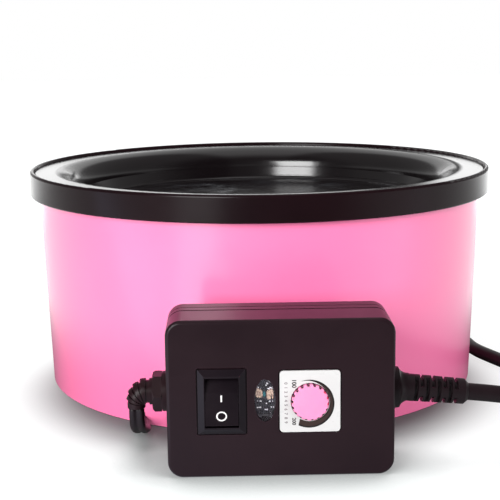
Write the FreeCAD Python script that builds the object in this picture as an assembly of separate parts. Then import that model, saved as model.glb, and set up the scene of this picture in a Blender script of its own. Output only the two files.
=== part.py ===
import FreeCAD, Part
import math
import os

# Floral hot glue pot: a shallow non-stick pan in a round painted-steel pot, with a
# corded control box standing in front of it.
# Millimetres, +Z up.  The origin is on the pot's axis, at the surface it stands on.
# The control box stands on the -Y side.

V = FreeCAD.Vector
UP = V(0, 0, 1)
ALONG_X = V(1, 0, 0)
ALONG_Y = V(0, 1, 0)

# ---------------------------------------------------------------- driving dimensions
# Pot
RIM_RADIUS = 93.0
POT_HEIGHT = 85.5
SKIRT_HEIGHT = 9.8
SKIRT_WALL = 2.0
BEAD_RISE = 1.1
LEDGE_THICKNESS = 1.5
LEDGE_WIDTH = 6.0
SHELL_TOP_GAP = 1.4
SHELL_FLARE = 2.7
SHELL_WALL = 1.0
SHELL_LIFT = 0.2
SHELL_LEDGE_WIDTH = 7.0
BASE_RECESS = 5.4

# Pan
PAN_RIM_WIDTH = 17.0
PAN_DRAFT = 1.0
PAN_LIP_ROUND = 9.0
PAN_CORNER_ROUND = 1.5
PAN_DEPTH = 14.1
PAN_WALL = 2.0
PAN_FLANGE = 1.2
PAN_FIT = 0.2

# Heater and what carries it
ELEMENT_FROM_RODS = 11.0
ELEMENT_TUBE = 6.6
ELEMENT_GAP_ANGLE = 40.0
ELEMENT_PIN_RADIUS = 1.5
ELEMENT_PIN_LENGTH = 16.0
ELEMENT_PIN_ANGLE = 3.0
CLAMP_THICKNESS = 1.2
CLAMP_INNER_MARGIN = 7.0
CLAMP_OUTER_MARGIN = 5.5
CLAMP_SLOT_WIDTH = 44.0
CLAMP_SLOT_INSIDE = 3.0
ROD_COUNT = 3
ROD_TO_FOOT = 5.2
ROD_RADIUS = 2.0
ROD_PHASE = 90.0
BOSS_RADIUS = 4.0
BOSS_BORE_FLOOR = 1.0
NUT_FLATS = 7.0
NUT_HEIGHT = 3.2
SLEEVE_RADIUS = 3.6
SHIELD_EDGE_GAP = 5.9
SHIELD_THICKNESS = 0.8
SHIELD_LIP = 4.0
WOOL_MARGIN = 10.0
WOOL_THICKNESS = 10.0
WOOL_CLEARANCE = 5.0
CUTOUT_RADIUS = 8.0
CUTOUT_HEIGHT = 6.5
CUTOUT_WALL = 1.0
CUTOUT_TAB_LENGTH = 6.0
CUTOUT_TAB_WIDTH = 4.8
CUTOUT_TAB_THICKNESS = 0.8
CUTOUT_TAB_SPACING = 8.4
STRAP_WIDTH = 6.0
STRAP_THICKNESS = 0.8
STRAP_OVERLAP = 6.0
FUSE_RADIUS = 2.0
FUSE_LENGTH = 14.0
FUSE_OFFSET = 24.0
FUSE_TAIL_RADIUS = 0.5
FUSE_TAIL_LENGTH = 5.0
FUSE_CLIP_WIDTH = 5.0
BASE_THICKNESS = 1.2
BASE_FIT = 0.3
VENT_RADIUS = 2.5
VENT_CIRCLE = 24.0
VENT_COUNT = 6
VENT_PHASE = 30.0
FOOT_WIDTH = 4.6
FOOT_TO_ANCHOR = 0.6
FOOT_CHAMFER = 0.8
FOOT_STEM_COUNT = 4
FOOT_STEM_PHASE = 45.0
FOOT_STEM_RADIUS = 1.6
FOOT_BUTTON_RADIUS = 2.6
FOOT_BUTTON_HEIGHT = 1.2
BLOCK_LENGTH = 24.0
BLOCK_WIDTH = 16.0
BLOCK_HEIGHT = 13.0
BLOCK_PLACE_Y = -30.0
BLOCK_SCREW_RADIUS = 2.2
BLOCK_SCREW_LENGTH = 4.0
BLOCK_WELL = 5.0
WIRE_RADIUS = 1.3
WIRE_BEND = 5.0
WIRE_HOLE_FIT = 1.2
HOLE_FIT = 0.3

# Where the pot lead goes in under the shell's edge
NOTCH_POINT = V(-46.4, -73.5, 0)
NOTCH_WIDTH = 5.8
NOTCH_TOP = 4.5
ANCHOR_LENGTH = 20.0
ANCHOR_WIDTH = 9.2
ANCHOR_LIFT = 0.5
ANCHOR_INSET = 0.5
ANCHOR_FIT = 0.1
LEAD_HOLE_RADIUS = 3.6
LEAD_HOLE_INSET = 17.0
LEAD_CORE_SPACING = 3.2

# Control box
BOX_GAP = 9.8
BOX_CENTRE_X = 2.7
BOX_WIDTH = 72.0
BOX_HEIGHT = 51.3
BOX_DEPTH = 24.2
BOX_WALL = 2.0
BOX_CORNER = 5.0
BOX_EDGE_ROUND = 1.2
FRONT_DEPTH = 14.0
SEAM_WIDTH = 1.0
SEAM_DEPTH = 0.6
GROOVE_WIDTH = 0.6
TRIM_GROOVE = 0.5
TRIM_GROOVE_DEPTH = 0.8
TRIM_GROOVE_CORNER = 0.3
GROOVE_FROM_BACK = 6.1
BOX_BOSS_INSET = 6.6
BOX_BOSS_RADIUS = 3.0
BOX_SCREW_RADIUS = 1.25
BOX_SCREW_HEAD = 2.4
BOX_SCREW_LENGTH = 14.0
BOX_SCREW_SUNK = 1.0
BOX_HEAD_SEAT = 3.0
CASE_FIT = 0.05

# Rocker switch
SWITCH_X = -15.9
SWITCH_Z = 25.2
BEZEL_WIDTH = 15.0
BEZEL_HEIGHT = 21.0
BEZEL_RISE = 1.8
BEZEL_BEVEL = 1.9
SWITCH_OPEN_WIDTH = 10.7
SWITCH_OPEN_HEIGHT = 16.2
SWITCH_BODY_WIDTH = 12.9
SWITCH_BODY_HEIGHT = 19.0
SWITCH_BODY_DEPTH = 13.0
SWITCH_WELL_DEPTH = 10.0
ROCKER_SIDE_GAP = 0.22
ROCKER_RADIUS = 7.8
ROCKER_PIVOT_DEPTH = 2.4
ROCKER_LOW_STAND = 3.6
ROCKER_BEND_UP = 3.1
ROCKER_BEND_STAND = 1.5
ROCKER_TOP_STAND = -1.1
ROCKER_BACK = 4.6
TRUNNION_RADIUS = 1.2
PIVOT_GAP = 0.05
TAB_WIDTH = 4.8
TAB_THICKNESS = 0.8
TAB_LENGTH = 6.0
TAB_SPACING = 7.0

# Indicator lens
LENS_X = -2.3
LENS_Z = 25.3
LENS_WIDTH = 6.1
LENS_HEIGHT = 13.3
LENS_GAP = 0.3
LENS_RISE = 1.1
LENS_CHAMFER = 0.8
LENS_FLANGE = 1.0
LENS_FLANGE_THICKNESS = 1.0
LAMP_RADIUS = 1.5
LAMP_LENGTH = 8.0
LAMP_SPACING = 5.4

# Dial
DIAL_X = 11.8
DIAL_Z = 24.9
DIAL_PLATE_WIDTH = 19.0
DIAL_PLATE_HEIGHT = 20.0
DIAL_PLATE_THICKNESS = 0.6
DIAL_PLATE_CORNER = 1.2
DIAL_PLATE_LIFT = 0.1
KNOB_RADIUS = 5.85
KNOB_FLUTES = 18
KNOB_FLUTE_RADIUS = 0.55
KNOB_FLUTE_PHASE = 16.0
KNOB_LENGTH = 5.6
KNOB_PROUD = 1.5
KNOB_GAP = 0.25
KNOB_EDGE = 0.4
SHAFT_RADIUS = 3.0
SHAFT_FIT = 0.05
SHAFT_SOCKET = 3.6
POT_BODY_SIZE = 15.0
POT_BODY_DEPTH = 6.0
POT_BUSH_RADIUS = 4.2
POT_BUSH_LENGTH = 2.0

# Circuit board
BOARD_WIDTH = 40.0
BOARD_HEIGHT = 31.0
BOARD_THICKNESS = 1.6
BOX_WIRE_RADIUS = 0.9
BOX_WIRE_BEND = 4.0
BOARD_FROM_FRONT = 15.0
BOARD_FROM_RIGHT = 5.2
BOARD_POST_RADIUS = 2.2
BOARD_POST_INSET = 2.8
SINK_WIDTH = 14.0
SINK_HEIGHT = 18.0
SINK_THICKNESS = 1.5
TRIAC_WIDTH = 10.0
TRIAC_HEIGHT = 9.0
TRIAC_THICKNESS = 4.0

CAPACITOR_WIDTH = 12.0
CAPACITOR_DEPTH = 5.0
CAPACITOR_HEIGHT = 10.0
CAPACITOR_X = 8.0
CAPACITOR_Z = 5.0
CHOKE_RADIUS = 4.5
CHOKE_LENGTH = 5.0
CHOKE_X = 30.0
CHOKE_Z = 7.5
RESISTOR_RADIUS = 1.2
RESISTOR_LENGTH = 7.0
RESISTOR_X = 7.0
RESISTOR_Z = 20.0
DIAC_RADIUS = 0.9
DIAC_LENGTH = 4.0
DIAC_X = 8.0
DIAC_Z = 25.0

# Gland for the pot lead, on the left of the box
GLAND_FLANGE_RADIUS = 6.5
GLAND_FLANGE_THICKNESS = 1.6
GLAND_NECK_RADIUS = 6.1
GLAND_THREAD_RADIUS = 4.6
GLAND_THREAD_LENGTH = 3.5
GLAND_BORE_RADIUS = 3.0
GLAND_NECK_LENGTH = 0.3
GLAND_NUT_CORNERS = 13.5
GLAND_NUT_THICKNESS = 2.9
GLAND_NUT_CHAMFER = 0.7
GLAND_NUT_TURN = 30.0
LOCKNUT_CORNERS = 13.0
LOCKNUT_THICKNESS = 2.0
ELBOW_RADIUS = 4.3
ELBOW_TIP_RADIUS = 2.9
ELBOW_GROOVE = 0.6
ELBOW_RIBS = 5
ELBOW_TURN = 90.0
ELBOW_RIB_ANGLE = 11.5
ELBOW_COLLAR_LENGTH = 1.1
ELBOW_LEAD_IN = 2.4
ELBOW_INNER_GAP = 0.2
ELBOW_TIP_LENGTH = 0.8

# Strain relief for the mains cord, on the right of the box
BOOT_FLARE_RADIUS = 6.9
BOOT_FLARE_LENGTH = 2.6
BOOT_NECK_RADIUS = 4.45
BOOT_NECK_START = 6.0
BOOT_TIP_RADIUS = 4.15
BOOT_LENGTH = 25.2
BOOT_TIP_CHAMFER = 1.2
BOOT_DROOP = 5.4
BOOT_SLOTS = 8
BOOT_SLOT_WIDTH = 1.15
BOOT_SLOT_DEPTH = 1.5
BOOT_SLOT_PITCH = 1.85
BOOT_SLOT_START = 7.4
BOOT_BRIDGE = 3.0
BOOT_COLLAR_RADIUS = 6.0
BOOT_COLLAR_THICKNESS = 1.6

# Cords
CORD_DIAMETER = 5.6
LEAD_DIAMETER = 4.0
COIL_MEAN_RADIUS = 31.0
COIL_TURNS_WIDE = 3
COIL_LAYER_RISE = 4.9
TIE_THICKNESS = 0.8
TIE_WIDTH = 9.0
TIE_ANGLE = 215.0
COIL_CENTRE = V(20, 152, 0)
PLUG_LENGTH = 27.0
PLUG_WIDTH = 24.0
PLUG_HEIGHT = 13.0
PLUG_ROUND = 3.0
BLADE_LENGTH = 17.0
BLADE_WIDTH = 6.35
BLADE_THICKNESS = 1.5
BLADE_SPACING = 12.7
PLUG_BOOT_LENGTH = 20.0

# ---------------------------------------------------------------- places worked out
SKIRT_BOTTOM = POT_HEIGHT - SKIRT_HEIGHT
FLANGE_TOP = POT_HEIGHT - BEAD_RISE
LEDGE_TOP = FLANGE_TOP - PAN_FLANGE
SHELL_TOP = LEDGE_TOP - LEDGE_THICKNESS
SKIRT_INNER = RIM_RADIUS - SKIRT_WALL
LEDGE_INNER_RADIUS = SKIRT_INNER - LEDGE_WIDTH
SHELL_TOP_RADIUS = SKIRT_INNER - SHELL_TOP_GAP
SHELL_BASE_RADIUS = SHELL_TOP_RADIUS - SHELL_FLARE
PAN_MOUTH_RADIUS = SKIRT_INNER - PAN_RIM_WIDTH
PAN_FLOOR_RADIUS = PAN_MOUTH_RADIUS - PAN_DRAFT
PAN_FLOOR = FLANGE_TOP - PAN_DEPTH
PAN_UNDERSIDE = PAN_FLOOR - PAN_WALL
ELEMENT_Z = PAN_UNDERSIDE - ELEMENT_TUBE / 2
CLAMP_TOP = PAN_UNDERSIDE - ELEMENT_TUBE
CLAMP_BOTTOM = CLAMP_TOP - CLAMP_THICKNESS
BASE_TOP = SHELL_LIFT + BASE_RECESS
BASE_BOTTOM = BASE_TOP - BASE_THICKNESS
BASE_RADIUS = SHELL_BASE_RADIUS - SHELL_WALL - BASE_FIT
ANCHOR_OUTER = SHELL_BASE_RADIUS - ANCHOR_INSET
ANCHOR_INNER = ANCHOR_OUTER - ANCHOR_LENGTH
FOOT_OUTER_RADIUS = ANCHOR_INNER - FOOT_TO_ANCHOR
FOOT_INNER_RADIUS = FOOT_OUTER_RADIUS - FOOT_WIDTH
FOOT_STEM_CIRCLE = (FOOT_INNER_RADIUS + FOOT_OUTER_RADIUS) / 2
ROD_CIRCLE = FOOT_INNER_RADIUS - ROD_TO_FOOT
ELEMENT_RADIUS = ROD_CIRCLE - ELEMENT_FROM_RODS
CLAMP_INNER_RADIUS = ELEMENT_RADIUS - CLAMP_INNER_MARGIN
CLAMP_OUTER_RADIUS = ROD_CIRCLE + CLAMP_OUTER_MARGIN
CUTOUT_BOTTOM = PAN_UNDERSIDE - CUTOUT_HEIGHT
WOOL_RADIUS = ROD_CIRCLE + WOOL_MARGIN
SHIELD_RADIUS = SHELL_BASE_RADIUS - SHELL_WALL - SHIELD_EDGE_GAP
SHIELD_TOP = CUTOUT_BOTTOM - CUTOUT_TAB_LENGTH - WOOL_CLEARANCE - WOOL_THICKNESS
SHIELD_HEIGHT = SHIELD_TOP - SHIELD_THICKNESS
BLOCK_TOP = BASE_TOP + BLOCK_HEIGHT

BOX_BACK_Y = -(RIM_RADIUS + BOX_GAP)
BOX_FRONT_Y = BOX_BACK_Y - BOX_DEPTH
BOX_MIDDLE_Y = (BOX_FRONT_Y + BOX_BACK_Y) / 2
BOX_MIDDLE_Z = BOX_HEIGHT / 2
PARTING_Y = BOX_FRONT_Y + FRONT_DEPTH
INNER_FRONT_Y = BOX_FRONT_Y + BOX_WALL
INNER_BACK_Y = BOX_BACK_Y - BOX_WALL
BOX_LEFT_X = BOX_CENTRE_X - BOX_WIDTH / 2
BOX_RIGHT_X = BOX_CENTRE_X + BOX_WIDTH / 2
BOARD_Y = BOX_FRONT_Y + BOARD_FROM_FRONT
BOARD_CENTRE_X = BOX_RIGHT_X - BOARD_FROM_RIGHT - BOARD_WIDTH / 2
CORD_EXIT_Z = SWITCH_Z


# ---------------------------------------------------------------- helpers
def save(name, shape):
    """Writes one sub-part to its own STEP file and prints its volume."""
    shape.exportStep("parts/%s.step" % name)
    print("%-22s solids %2d  volume %10.1f" % (name, len(shape.Solids), shape.Volume))


def disc(radius, low, thickness, x=0.0, y=0.0):
    """An upright cylinder standing at (x, y)."""
    return Part.makeCylinder(radius, thickness, V(x, y, low), UP)


def ring(outer, inner, low, thickness, x=0.0, y=0.0):
    """An upright tube standing at (x, y)."""
    return disc(outer, low, thickness, x, y).cut(disc(inner, low, thickness, x, y))


def cylinder_y(radius, front, back, x, z):
    """A cylinder along Y from front to back."""
    return Part.makeCylinder(radius, back - front, V(x, front, z), ALONG_Y)


def cylinder_x(radius, left, right, y, z):
    """A cylinder along X from left to right."""
    return Part.makeCylinder(radius, right - left, V(left, y, z), ALONG_X)


def spun(steps, axis_point=V(0, 0, 0), axis=UP):
    """Spins a closed outline about an axis.

    steps holds the corners in order; a pair (middle, end) is an arc to end.
    """
    edges = []
    here = steps[0]
    for step in steps[1:] + [steps[0]]:
        if isinstance(step, tuple):
            middle, there = step
            edges.append(Part.Arc(here, middle, there).toShape())
        else:
            there = step
            edges.append(Part.makeLine(here, there))
        here = there
    face = Part.Face(Part.Wire(edges))
    return face.revolve(axis_point, axis, 360)


def rz(radius, height):
    """A point of an outline that is spun about the pot's axis."""
    return V(radius, 0, height)


def around(shape, count, phase=0.0):
    """Copies of a shape, evenly spaced about the pot's axis, as one group."""
    copies = []
    for index in range(count):
        turned = shape.copy()
        turned.rotate(V(0, 0, 0), UP, phase + 360.0 * index / count)
        copies.append(turned)
    return Part.makeCompound(copies)


def group(shapes):
    """One compound of separate solids."""
    return Part.makeCompound(shapes)


def block(x0, x1, y0, y1, z0, z1):
    """An upright box between two corners."""
    return Part.makeBox(x1 - x0, y1 - y0, z1 - z0, V(x0, y0, z0))


def rounded_panel(x, z, width, height, corner, front, back):
    """A panel facing -Y with rounded corners, from front to back along Y."""
    body = block(x - width / 2, x + width / 2, front, back, z - height / 2, z + height / 2)
    upright = [e for e in body.Edges if abs(e.tangentAt(e.FirstParameter).y) > 0.99]
    return body.makeFillet(corner, upright)


def hexagon(corners, axis_start, axis, length, turn=0.0):
    """A hexagonal prism; corners is its size across corners."""
    points = []
    for index in range(7):
        angle = math.radians(60.0 * index + turn)
        points.append(V(corners / 2 * math.cos(angle), corners / 2 * math.sin(angle), 0))
    prism = Part.Face(Part.makePolygon(points)).extrude(V(0, 0, length))
    prism.Placement = FreeCAD.Placement(axis_start, FreeCAD.Rotation(UP, axis))
    return prism


def bent_path(points):
    """Straight runs joined by tangent arcs; prints the arcs' radii."""
    edges = []
    radii = []
    start = points[0]
    for before, corner, after in zip(points, points[1:], points[2:]):
        incoming = corner - before
        outgoing = after - corner
        turn = incoming.getAngle(outgoing)
        cut = 0.45 * min(incoming.Length, outgoing.Length)
        radius = cut / math.tan(turn / 2)
        radii.append(round(radius, 1))
        back = V(incoming).normalize()
        ahead = V(outgoing).normalize()
        enter = corner - back * cut
        leave = corner + ahead * cut
        inward = (ahead - back).normalize()
        centre = corner + inward * (radius / math.cos(turn / 2))
        middle = centre - inward * radius
        edges.append(Part.LineSegment(start, enter).toShape())
        edges.append(Part.Arc(enter, middle, leave).toShape())
        start = leave
    edges.append(Part.LineSegment(start, points[-1]).toShape())
    return Part.Wire(edges), radii


def tube_along(name, points, radius):
    """A round tube along a hand-chosen route; prints how true its volume is."""
    path, radii = bent_path(points)
    heading = points[1] - points[0]
    section = Part.Wire([Part.makeCircle(radius, points[0], heading)])
    sweep = Part.BRepOffsetAPI.MakePipeShell(path)
    sweep.add(section)
    sweep.setTransitionMode(1)
    sweep.build()
    sweep.makeSolid()
    solid = sweep.shape()
    expected = math.pi * radius ** 2 * path.Length
    print("%s: length %.1f, volume ratio %.4f, radii %s"
          % (name, path.Length, solid.Volume / expected, radii))
    return solid


# ---------------------------------------------------------------- pot
def shell_radius(height):
    """Outside radius of the slightly flared shell at a height."""
    share = (height - SHELL_LIFT) / (SHELL_TOP - SHELL_LIFT)
    return SHELL_BASE_RADIUS + (SHELL_TOP_RADIUS - SHELL_BASE_RADIUS) * share


def notch_tool(width, top, outer, inner):
    """A radial block at the place where the lead goes under the shell's edge."""
    tool = block(-width / 2, width / 2, -outer, -inner, 0, top)
    turn = math.degrees(math.atan2(NOTCH_POINT.x, -NOTCH_POINT.y))
    tool.rotate(V(0, 0, 0), UP, turn)
    return tool


def outer_shell():
    """Thin painted steel wall with a rolled-in ledge that the base plate bears on."""
    ledge_top = BASE_TOP + SHELL_WALL
    ledge_inner = SHELL_BASE_RADIUS - SHELL_WALL - SHELL_LEDGE_WIDTH
    body = spun([
        rz(SHELL_BASE_RADIUS, SHELL_LIFT),
        rz(shell_radius(SHELL_TOP), SHELL_TOP),
        rz(shell_radius(SHELL_TOP) - SHELL_WALL, SHELL_TOP),
        rz(shell_radius(ledge_top) - SHELL_WALL, ledge_top),
        rz(ledge_inner, ledge_top),
        rz(ledge_inner, BASE_TOP),
        rz(shell_radius(BASE_TOP) - SHELL_WALL, BASE_TOP),
        rz(SHELL_BASE_RADIUS - SHELL_WALL, SHELL_LIFT),
    ])
    return body.cut(notch_tool(NOTCH_WIDTH, NOTCH_TOP, SHELL_TOP_RADIUS, ANCHOR_INNER))


def rim_ring():
    """Black ring: a skirt over the shell, a raised bead and an inner ledge."""
    crown = SKIRT_WALL / 2
    return spun([
        rz(SKIRT_INNER, SKIRT_BOTTOM),
        rz(RIM_RADIUS - 0.4, SKIRT_BOTTOM),
        rz(RIM_RADIUS, SKIRT_BOTTOM + 0.4),
        rz(RIM_RADIUS, POT_HEIGHT - crown),
        (rz(RIM_RADIUS - crown, POT_HEIGHT), rz(SKIRT_INNER, POT_HEIGHT - crown)),
        rz(SKIRT_INNER, LEDGE_TOP),
        rz(LEDGE_INNER_RADIUS, LEDGE_TOP),
        rz(LEDGE_INNER_RADIUS, SHELL_TOP),
        rz(SKIRT_INNER, SHELL_TOP),
    ])


def glue_pan():
    """Shallow cast pan with a wide flat flange, a round lip and three bosses."""
    lip = PAN_LIP_ROUND
    half = math.sqrt(0.5)
    corner = PAN_CORNER_ROUND
    lip_middle = rz(PAN_MOUTH_RADIUS + lip * (1 - half), FLANGE_TOP - lip * (1 - half))
    lip_foot = rz(PAN_MOUTH_RADIUS, FLANGE_TOP - lip)
    corner_middle = rz(PAN_FLOOR_RADIUS - corner * (1 - half), PAN_FLOOR + corner * (1 - half))
    floor_edge = rz(PAN_FLOOR_RADIUS - corner, PAN_FLOOR)
    under = lip - PAN_FLANGE
    under_middle = rz(PAN_MOUTH_RADIUS + PAN_WALL + under * (1 - half),
                      LEDGE_TOP - under * (1 - half))
    flange_edge = SKIRT_INNER - PAN_FIT
    body = spun([
        rz(0, PAN_FLOOR),
        floor_edge,
        (corner_middle, rz(PAN_FLOOR_RADIUS, PAN_FLOOR + corner)),
        lip_foot,
        (lip_middle, rz(PAN_MOUTH_RADIUS + lip, FLANGE_TOP)),
        rz(flange_edge, FLANGE_TOP),
        rz(flange_edge, LEDGE_TOP),
        rz(PAN_MOUTH_RADIUS + PAN_WALL + under, LEDGE_TOP),
        (under_middle, rz(PAN_MOUTH_RADIUS + PAN_WALL, LEDGE_TOP - under)),
        rz(PAN_FLOOR_RADIUS + PAN_WALL, PAN_UNDERSIDE),
        rz(0, PAN_UNDERSIDE),
    ])
    boss_length = PAN_UNDERSIDE - CLAMP_TOP
    boss = disc(BOSS_RADIUS, CLAMP_TOP, boss_length, ROD_CIRCLE)
    bore = disc(ROD_RADIUS + CASE_FIT, CLAMP_TOP, boss_length - BOSS_BORE_FLOOR, ROD_CIRCLE)
    for index in range(ROD_COUNT):
        turn = ROD_PHASE + 360.0 * index / ROD_COUNT
        peg = boss.copy()
        peg.rotate(V(0, 0, 0), UP, turn)
        hole = bore.copy()
        hole.rotate(V(0, 0, 0), UP, turn)
        body = body.fuse(peg).cut(hole)
    return body.removeSplitter()


def heating_element():
    """Tubular ring under the pan floor with two cold pins turned down."""
    circle = Part.Wire([Part.makeCircle(ELEMENT_TUBE / 2, V(ELEMENT_RADIUS, 0, ELEMENT_Z), ALONG_Y)])
    sweep = 360.0 - ELEMENT_GAP_ANGLE
    body = Part.Face(circle).revolve(V(0, 0, 0), UP, sweep)
    body.rotate(V(0, 0, 0), UP, -90 + ELEMENT_GAP_ANGLE / 2)
    feet = [pin_place(side) for side in (-1, 1)]
    pins = [disc(ELEMENT_PIN_RADIUS, foot.z, ELEMENT_PIN_LENGTH, foot.x, foot.y) for foot in feet]
    return body.fuse(pins)


def pin_place(side):
    """Foot of one of the element's pins."""
    angle = math.radians(-90 + side * (ELEMENT_GAP_ANGLE / 2 + ELEMENT_PIN_ANGLE))
    return V(ELEMENT_RADIUS * math.cos(angle), ELEMENT_RADIUS * math.sin(angle),
             ELEMENT_Z - ELEMENT_PIN_LENGTH)


def heater_clamp_plate():
    """Steel ring pressed up against the element by the rods' upper nuts."""
    body = ring(CLAMP_OUTER_RADIUS, CLAMP_INNER_RADIUS, CLAMP_BOTTOM, CLAMP_THICKNESS)
    holes = around(disc(ROD_RADIUS + HOLE_FIT, CLAMP_BOTTOM, CLAMP_THICKNESS, ROD_CIRCLE),
                   ROD_COUNT, ROD_PHASE)
    slot = block(-CLAMP_SLOT_WIDTH / 2, CLAMP_SLOT_WIDTH / 2, -CLAMP_OUTER_RADIUS,
                 -CLAMP_INNER_RADIUS + CLAMP_SLOT_INSIDE, CLAMP_BOTTOM, CLAMP_TOP)
    return body.cut(holes).cut(slot)


def rod_nut(low):
    """A hexagonal nut on a tie rod, its underside at a height."""
    nut = hexagon(NUT_FLATS / math.cos(math.radians(30)), V(ROD_CIRCLE, 0, low), UP, NUT_HEIGHT)
    return nut.cut(disc(ROD_RADIUS + CASE_FIT, low, NUT_HEIGHT, ROD_CIRCLE))


ROD_FOOT = BASE_BOTTOM - NUT_HEIGHT
ROD_TOP = PAN_UNDERSIDE - BOSS_BORE_FLOOR


def tie_rods():
    """Long studs from the pan's bosses down through the base plate."""
    return around(disc(ROD_RADIUS, ROD_FOOT, ROD_TOP - ROD_FOOT, ROD_CIRCLE),
                  ROD_COUNT, ROD_PHASE)


def spacer_sleeves():
    """Tubes on the rods that hold the heat shield above the base plate."""
    sleeve = ring(SLEEVE_RADIUS, ROD_RADIUS + CASE_FIT, BASE_TOP, SHIELD_HEIGHT - BASE_TOP,
                  ROD_CIRCLE)
    return around(sleeve, ROD_COUNT, ROD_PHASE)


def heat_shield():
    """Bright reflector disc with a turned-up rim."""
    body = spun([
        rz(0, SHIELD_HEIGHT),
        rz(SHIELD_RADIUS, SHIELD_HEIGHT),
        rz(SHIELD_RADIUS, SHIELD_TOP + SHIELD_LIP),
        rz(SHIELD_RADIUS - SHIELD_THICKNESS, SHIELD_TOP + SHIELD_LIP),
        rz(SHIELD_RADIUS - SHIELD_THICKNESS, SHIELD_TOP),
        rz(0, SHIELD_TOP),
    ])
    holes = around(disc(ROD_RADIUS + HOLE_FIT, SHIELD_HEIGHT, SHIELD_THICKNESS, ROD_CIRCLE),
                   ROD_COUNT, ROD_PHASE)
    return body.cut(holes).cut(wire_holes(SHIELD_HEIGHT, SHIELD_THICKNESS))


def wire_holes(low, thickness):
    """Two holes under the element's pins for the wires."""
    holes = [disc(WIRE_RADIUS + WIRE_HOLE_FIT, low, thickness, pin_place(side).x, pin_place(side).y)
             for side in (-1, 1)]
    return group(holes)


def insulation_pad():
    """Mineral wool disc lying on the heat shield."""
    body = disc(WOOL_RADIUS, SHIELD_TOP, WOOL_THICKNESS)
    holes = around(disc(NUT_FLATS * 0.75, SHIELD_TOP, WOOL_THICKNESS, ROD_CIRCLE),
                   ROD_COUNT, ROD_PHASE)
    return body.cut(holes).cut(wire_holes(SHIELD_TOP, WOOL_THICKNESS))


def thermal_cutout():
    """Bimetal cutout held against the middle of the pan's underside."""
    can = disc(CUTOUT_RADIUS, CUTOUT_BOTTOM, CUTOUT_HEIGHT)
    half_width = CUTOUT_TAB_WIDTH / 2
    half_thick = CUTOUT_TAB_THICKNESS / 2
    tabs = [block(shift - half_width, shift + half_width, -half_thick, half_thick,
                  CUTOUT_BOTTOM - CUTOUT_TAB_LENGTH, CUTOUT_BOTTOM)
            for shift in (-CUTOUT_TAB_SPACING / 2, CUTOUT_TAB_SPACING / 2)]
    return can.fuse(tabs)


def cutout_strap():
    """Sprung strip across the clamp plate that presses the cutout up."""
    reach = CLAMP_INNER_RADIUS + STRAP_OVERLAP
    low = CLAMP_BOTTOM - STRAP_THICKNESS
    flat = block(-reach, reach, -STRAP_WIDTH / 2, STRAP_WIDTH / 2, low, CLAMP_BOTTOM)
    hole = disc(CUTOUT_RADIUS - CUTOUT_WALL, low, STRAP_THICKNESS)
    cup = ring(CUTOUT_RADIUS + CUTOUT_WALL, CUTOUT_RADIUS - CUTOUT_WALL, low,
               CUTOUT_BOTTOM - low)
    return flat.cut(hole).fuse(cup).removeSplitter()


def thermal_fuse():
    """One-shot fuse lying against the pan's underside."""
    z = PAN_UNDERSIDE - FUSE_RADIUS
    body = cylinder_y(FUSE_RADIUS, -FUSE_LENGTH / 2, FUSE_LENGTH / 2, FUSE_OFFSET, z)
    reach = FUSE_LENGTH / 2 + FUSE_TAIL_LENGTH
    return body.fuse(cylinder_y(FUSE_TAIL_RADIUS, -reach, reach, FUSE_OFFSET, z))


def fuse_clip():
    """Bent strip from the strap up to the fuse."""
    top = PAN_UNDERSIDE - 2 * FUSE_RADIUS
    under = top - STRAP_THICKNESS
    half = FUSE_CLIP_WIDTH / 2
    leg = STRAP_THICKNESS / 2
    post = block(FUSE_OFFSET - leg, FUSE_OFFSET + leg, -half, half, CLAMP_BOTTOM, under)
    shelf = block(FUSE_OFFSET - half, FUSE_OFFSET + half, -half, half, under, top)
    return post.fuse(shelf).removeSplitter()


def base_plate():
    """Steel disc under the shell's ledge, pulled up by the tie rods."""
    body = disc(BASE_RADIUS, BASE_BOTTOM, BASE_THICKNESS)
    rod_holes = around(disc(ROD_RADIUS + HOLE_FIT, BASE_BOTTOM, BASE_THICKNESS, ROD_CIRCLE),
                       ROD_COUNT, ROD_PHASE)
    stem_holes = around(disc(FOOT_STEM_RADIUS, BASE_BOTTOM, BASE_THICKNESS, FOOT_STEM_CIRCLE),
                        FOOT_STEM_COUNT, FOOT_STEM_PHASE)
    vents = around(disc(VENT_RADIUS, BASE_BOTTOM, BASE_THICKNESS, VENT_CIRCLE), VENT_COUNT,
                   VENT_PHASE)
    centre = lead_hole_centre()
    lead_hole = disc(LEAD_HOLE_RADIUS, BASE_BOTTOM, BASE_THICKNESS, centre.x, centre.y)
    return body.cut(rod_holes).cut(stem_holes).cut(vents).cut(lead_hole)


def lead_hole_centre():
    """Where the lead's two wires come up through the base plate."""
    return V(NOTCH_POINT).normalize() * (SHELL_BASE_RADIUS - LEAD_HOLE_INSET)


def foot_ring():
    """Rubber ring the pot stands on, with stems snapped through the base plate."""
    chamfer = FOOT_CHAMFER
    sole = spun([
        rz(FOOT_INNER_RADIUS + chamfer, 0),
        rz(FOOT_OUTER_RADIUS - chamfer, 0),
        rz(FOOT_OUTER_RADIUS, chamfer),
        rz(FOOT_OUTER_RADIUS, BASE_BOTTOM),
        rz(FOOT_INNER_RADIUS, BASE_BOTTOM),
        rz(FOOT_INNER_RADIUS, chamfer),
    ])
    stem = disc(FOOT_STEM_RADIUS, BASE_BOTTOM, BASE_THICKNESS, FOOT_STEM_CIRCLE)
    button = disc(FOOT_BUTTON_RADIUS, BASE_TOP, FOOT_BUTTON_HEIGHT, FOOT_STEM_CIRCLE)
    snaps = around(stem.fuse(button), FOOT_STEM_COUNT, FOOT_STEM_PHASE)
    return sole.fuse(snaps.Solids).removeSplitter()


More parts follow.
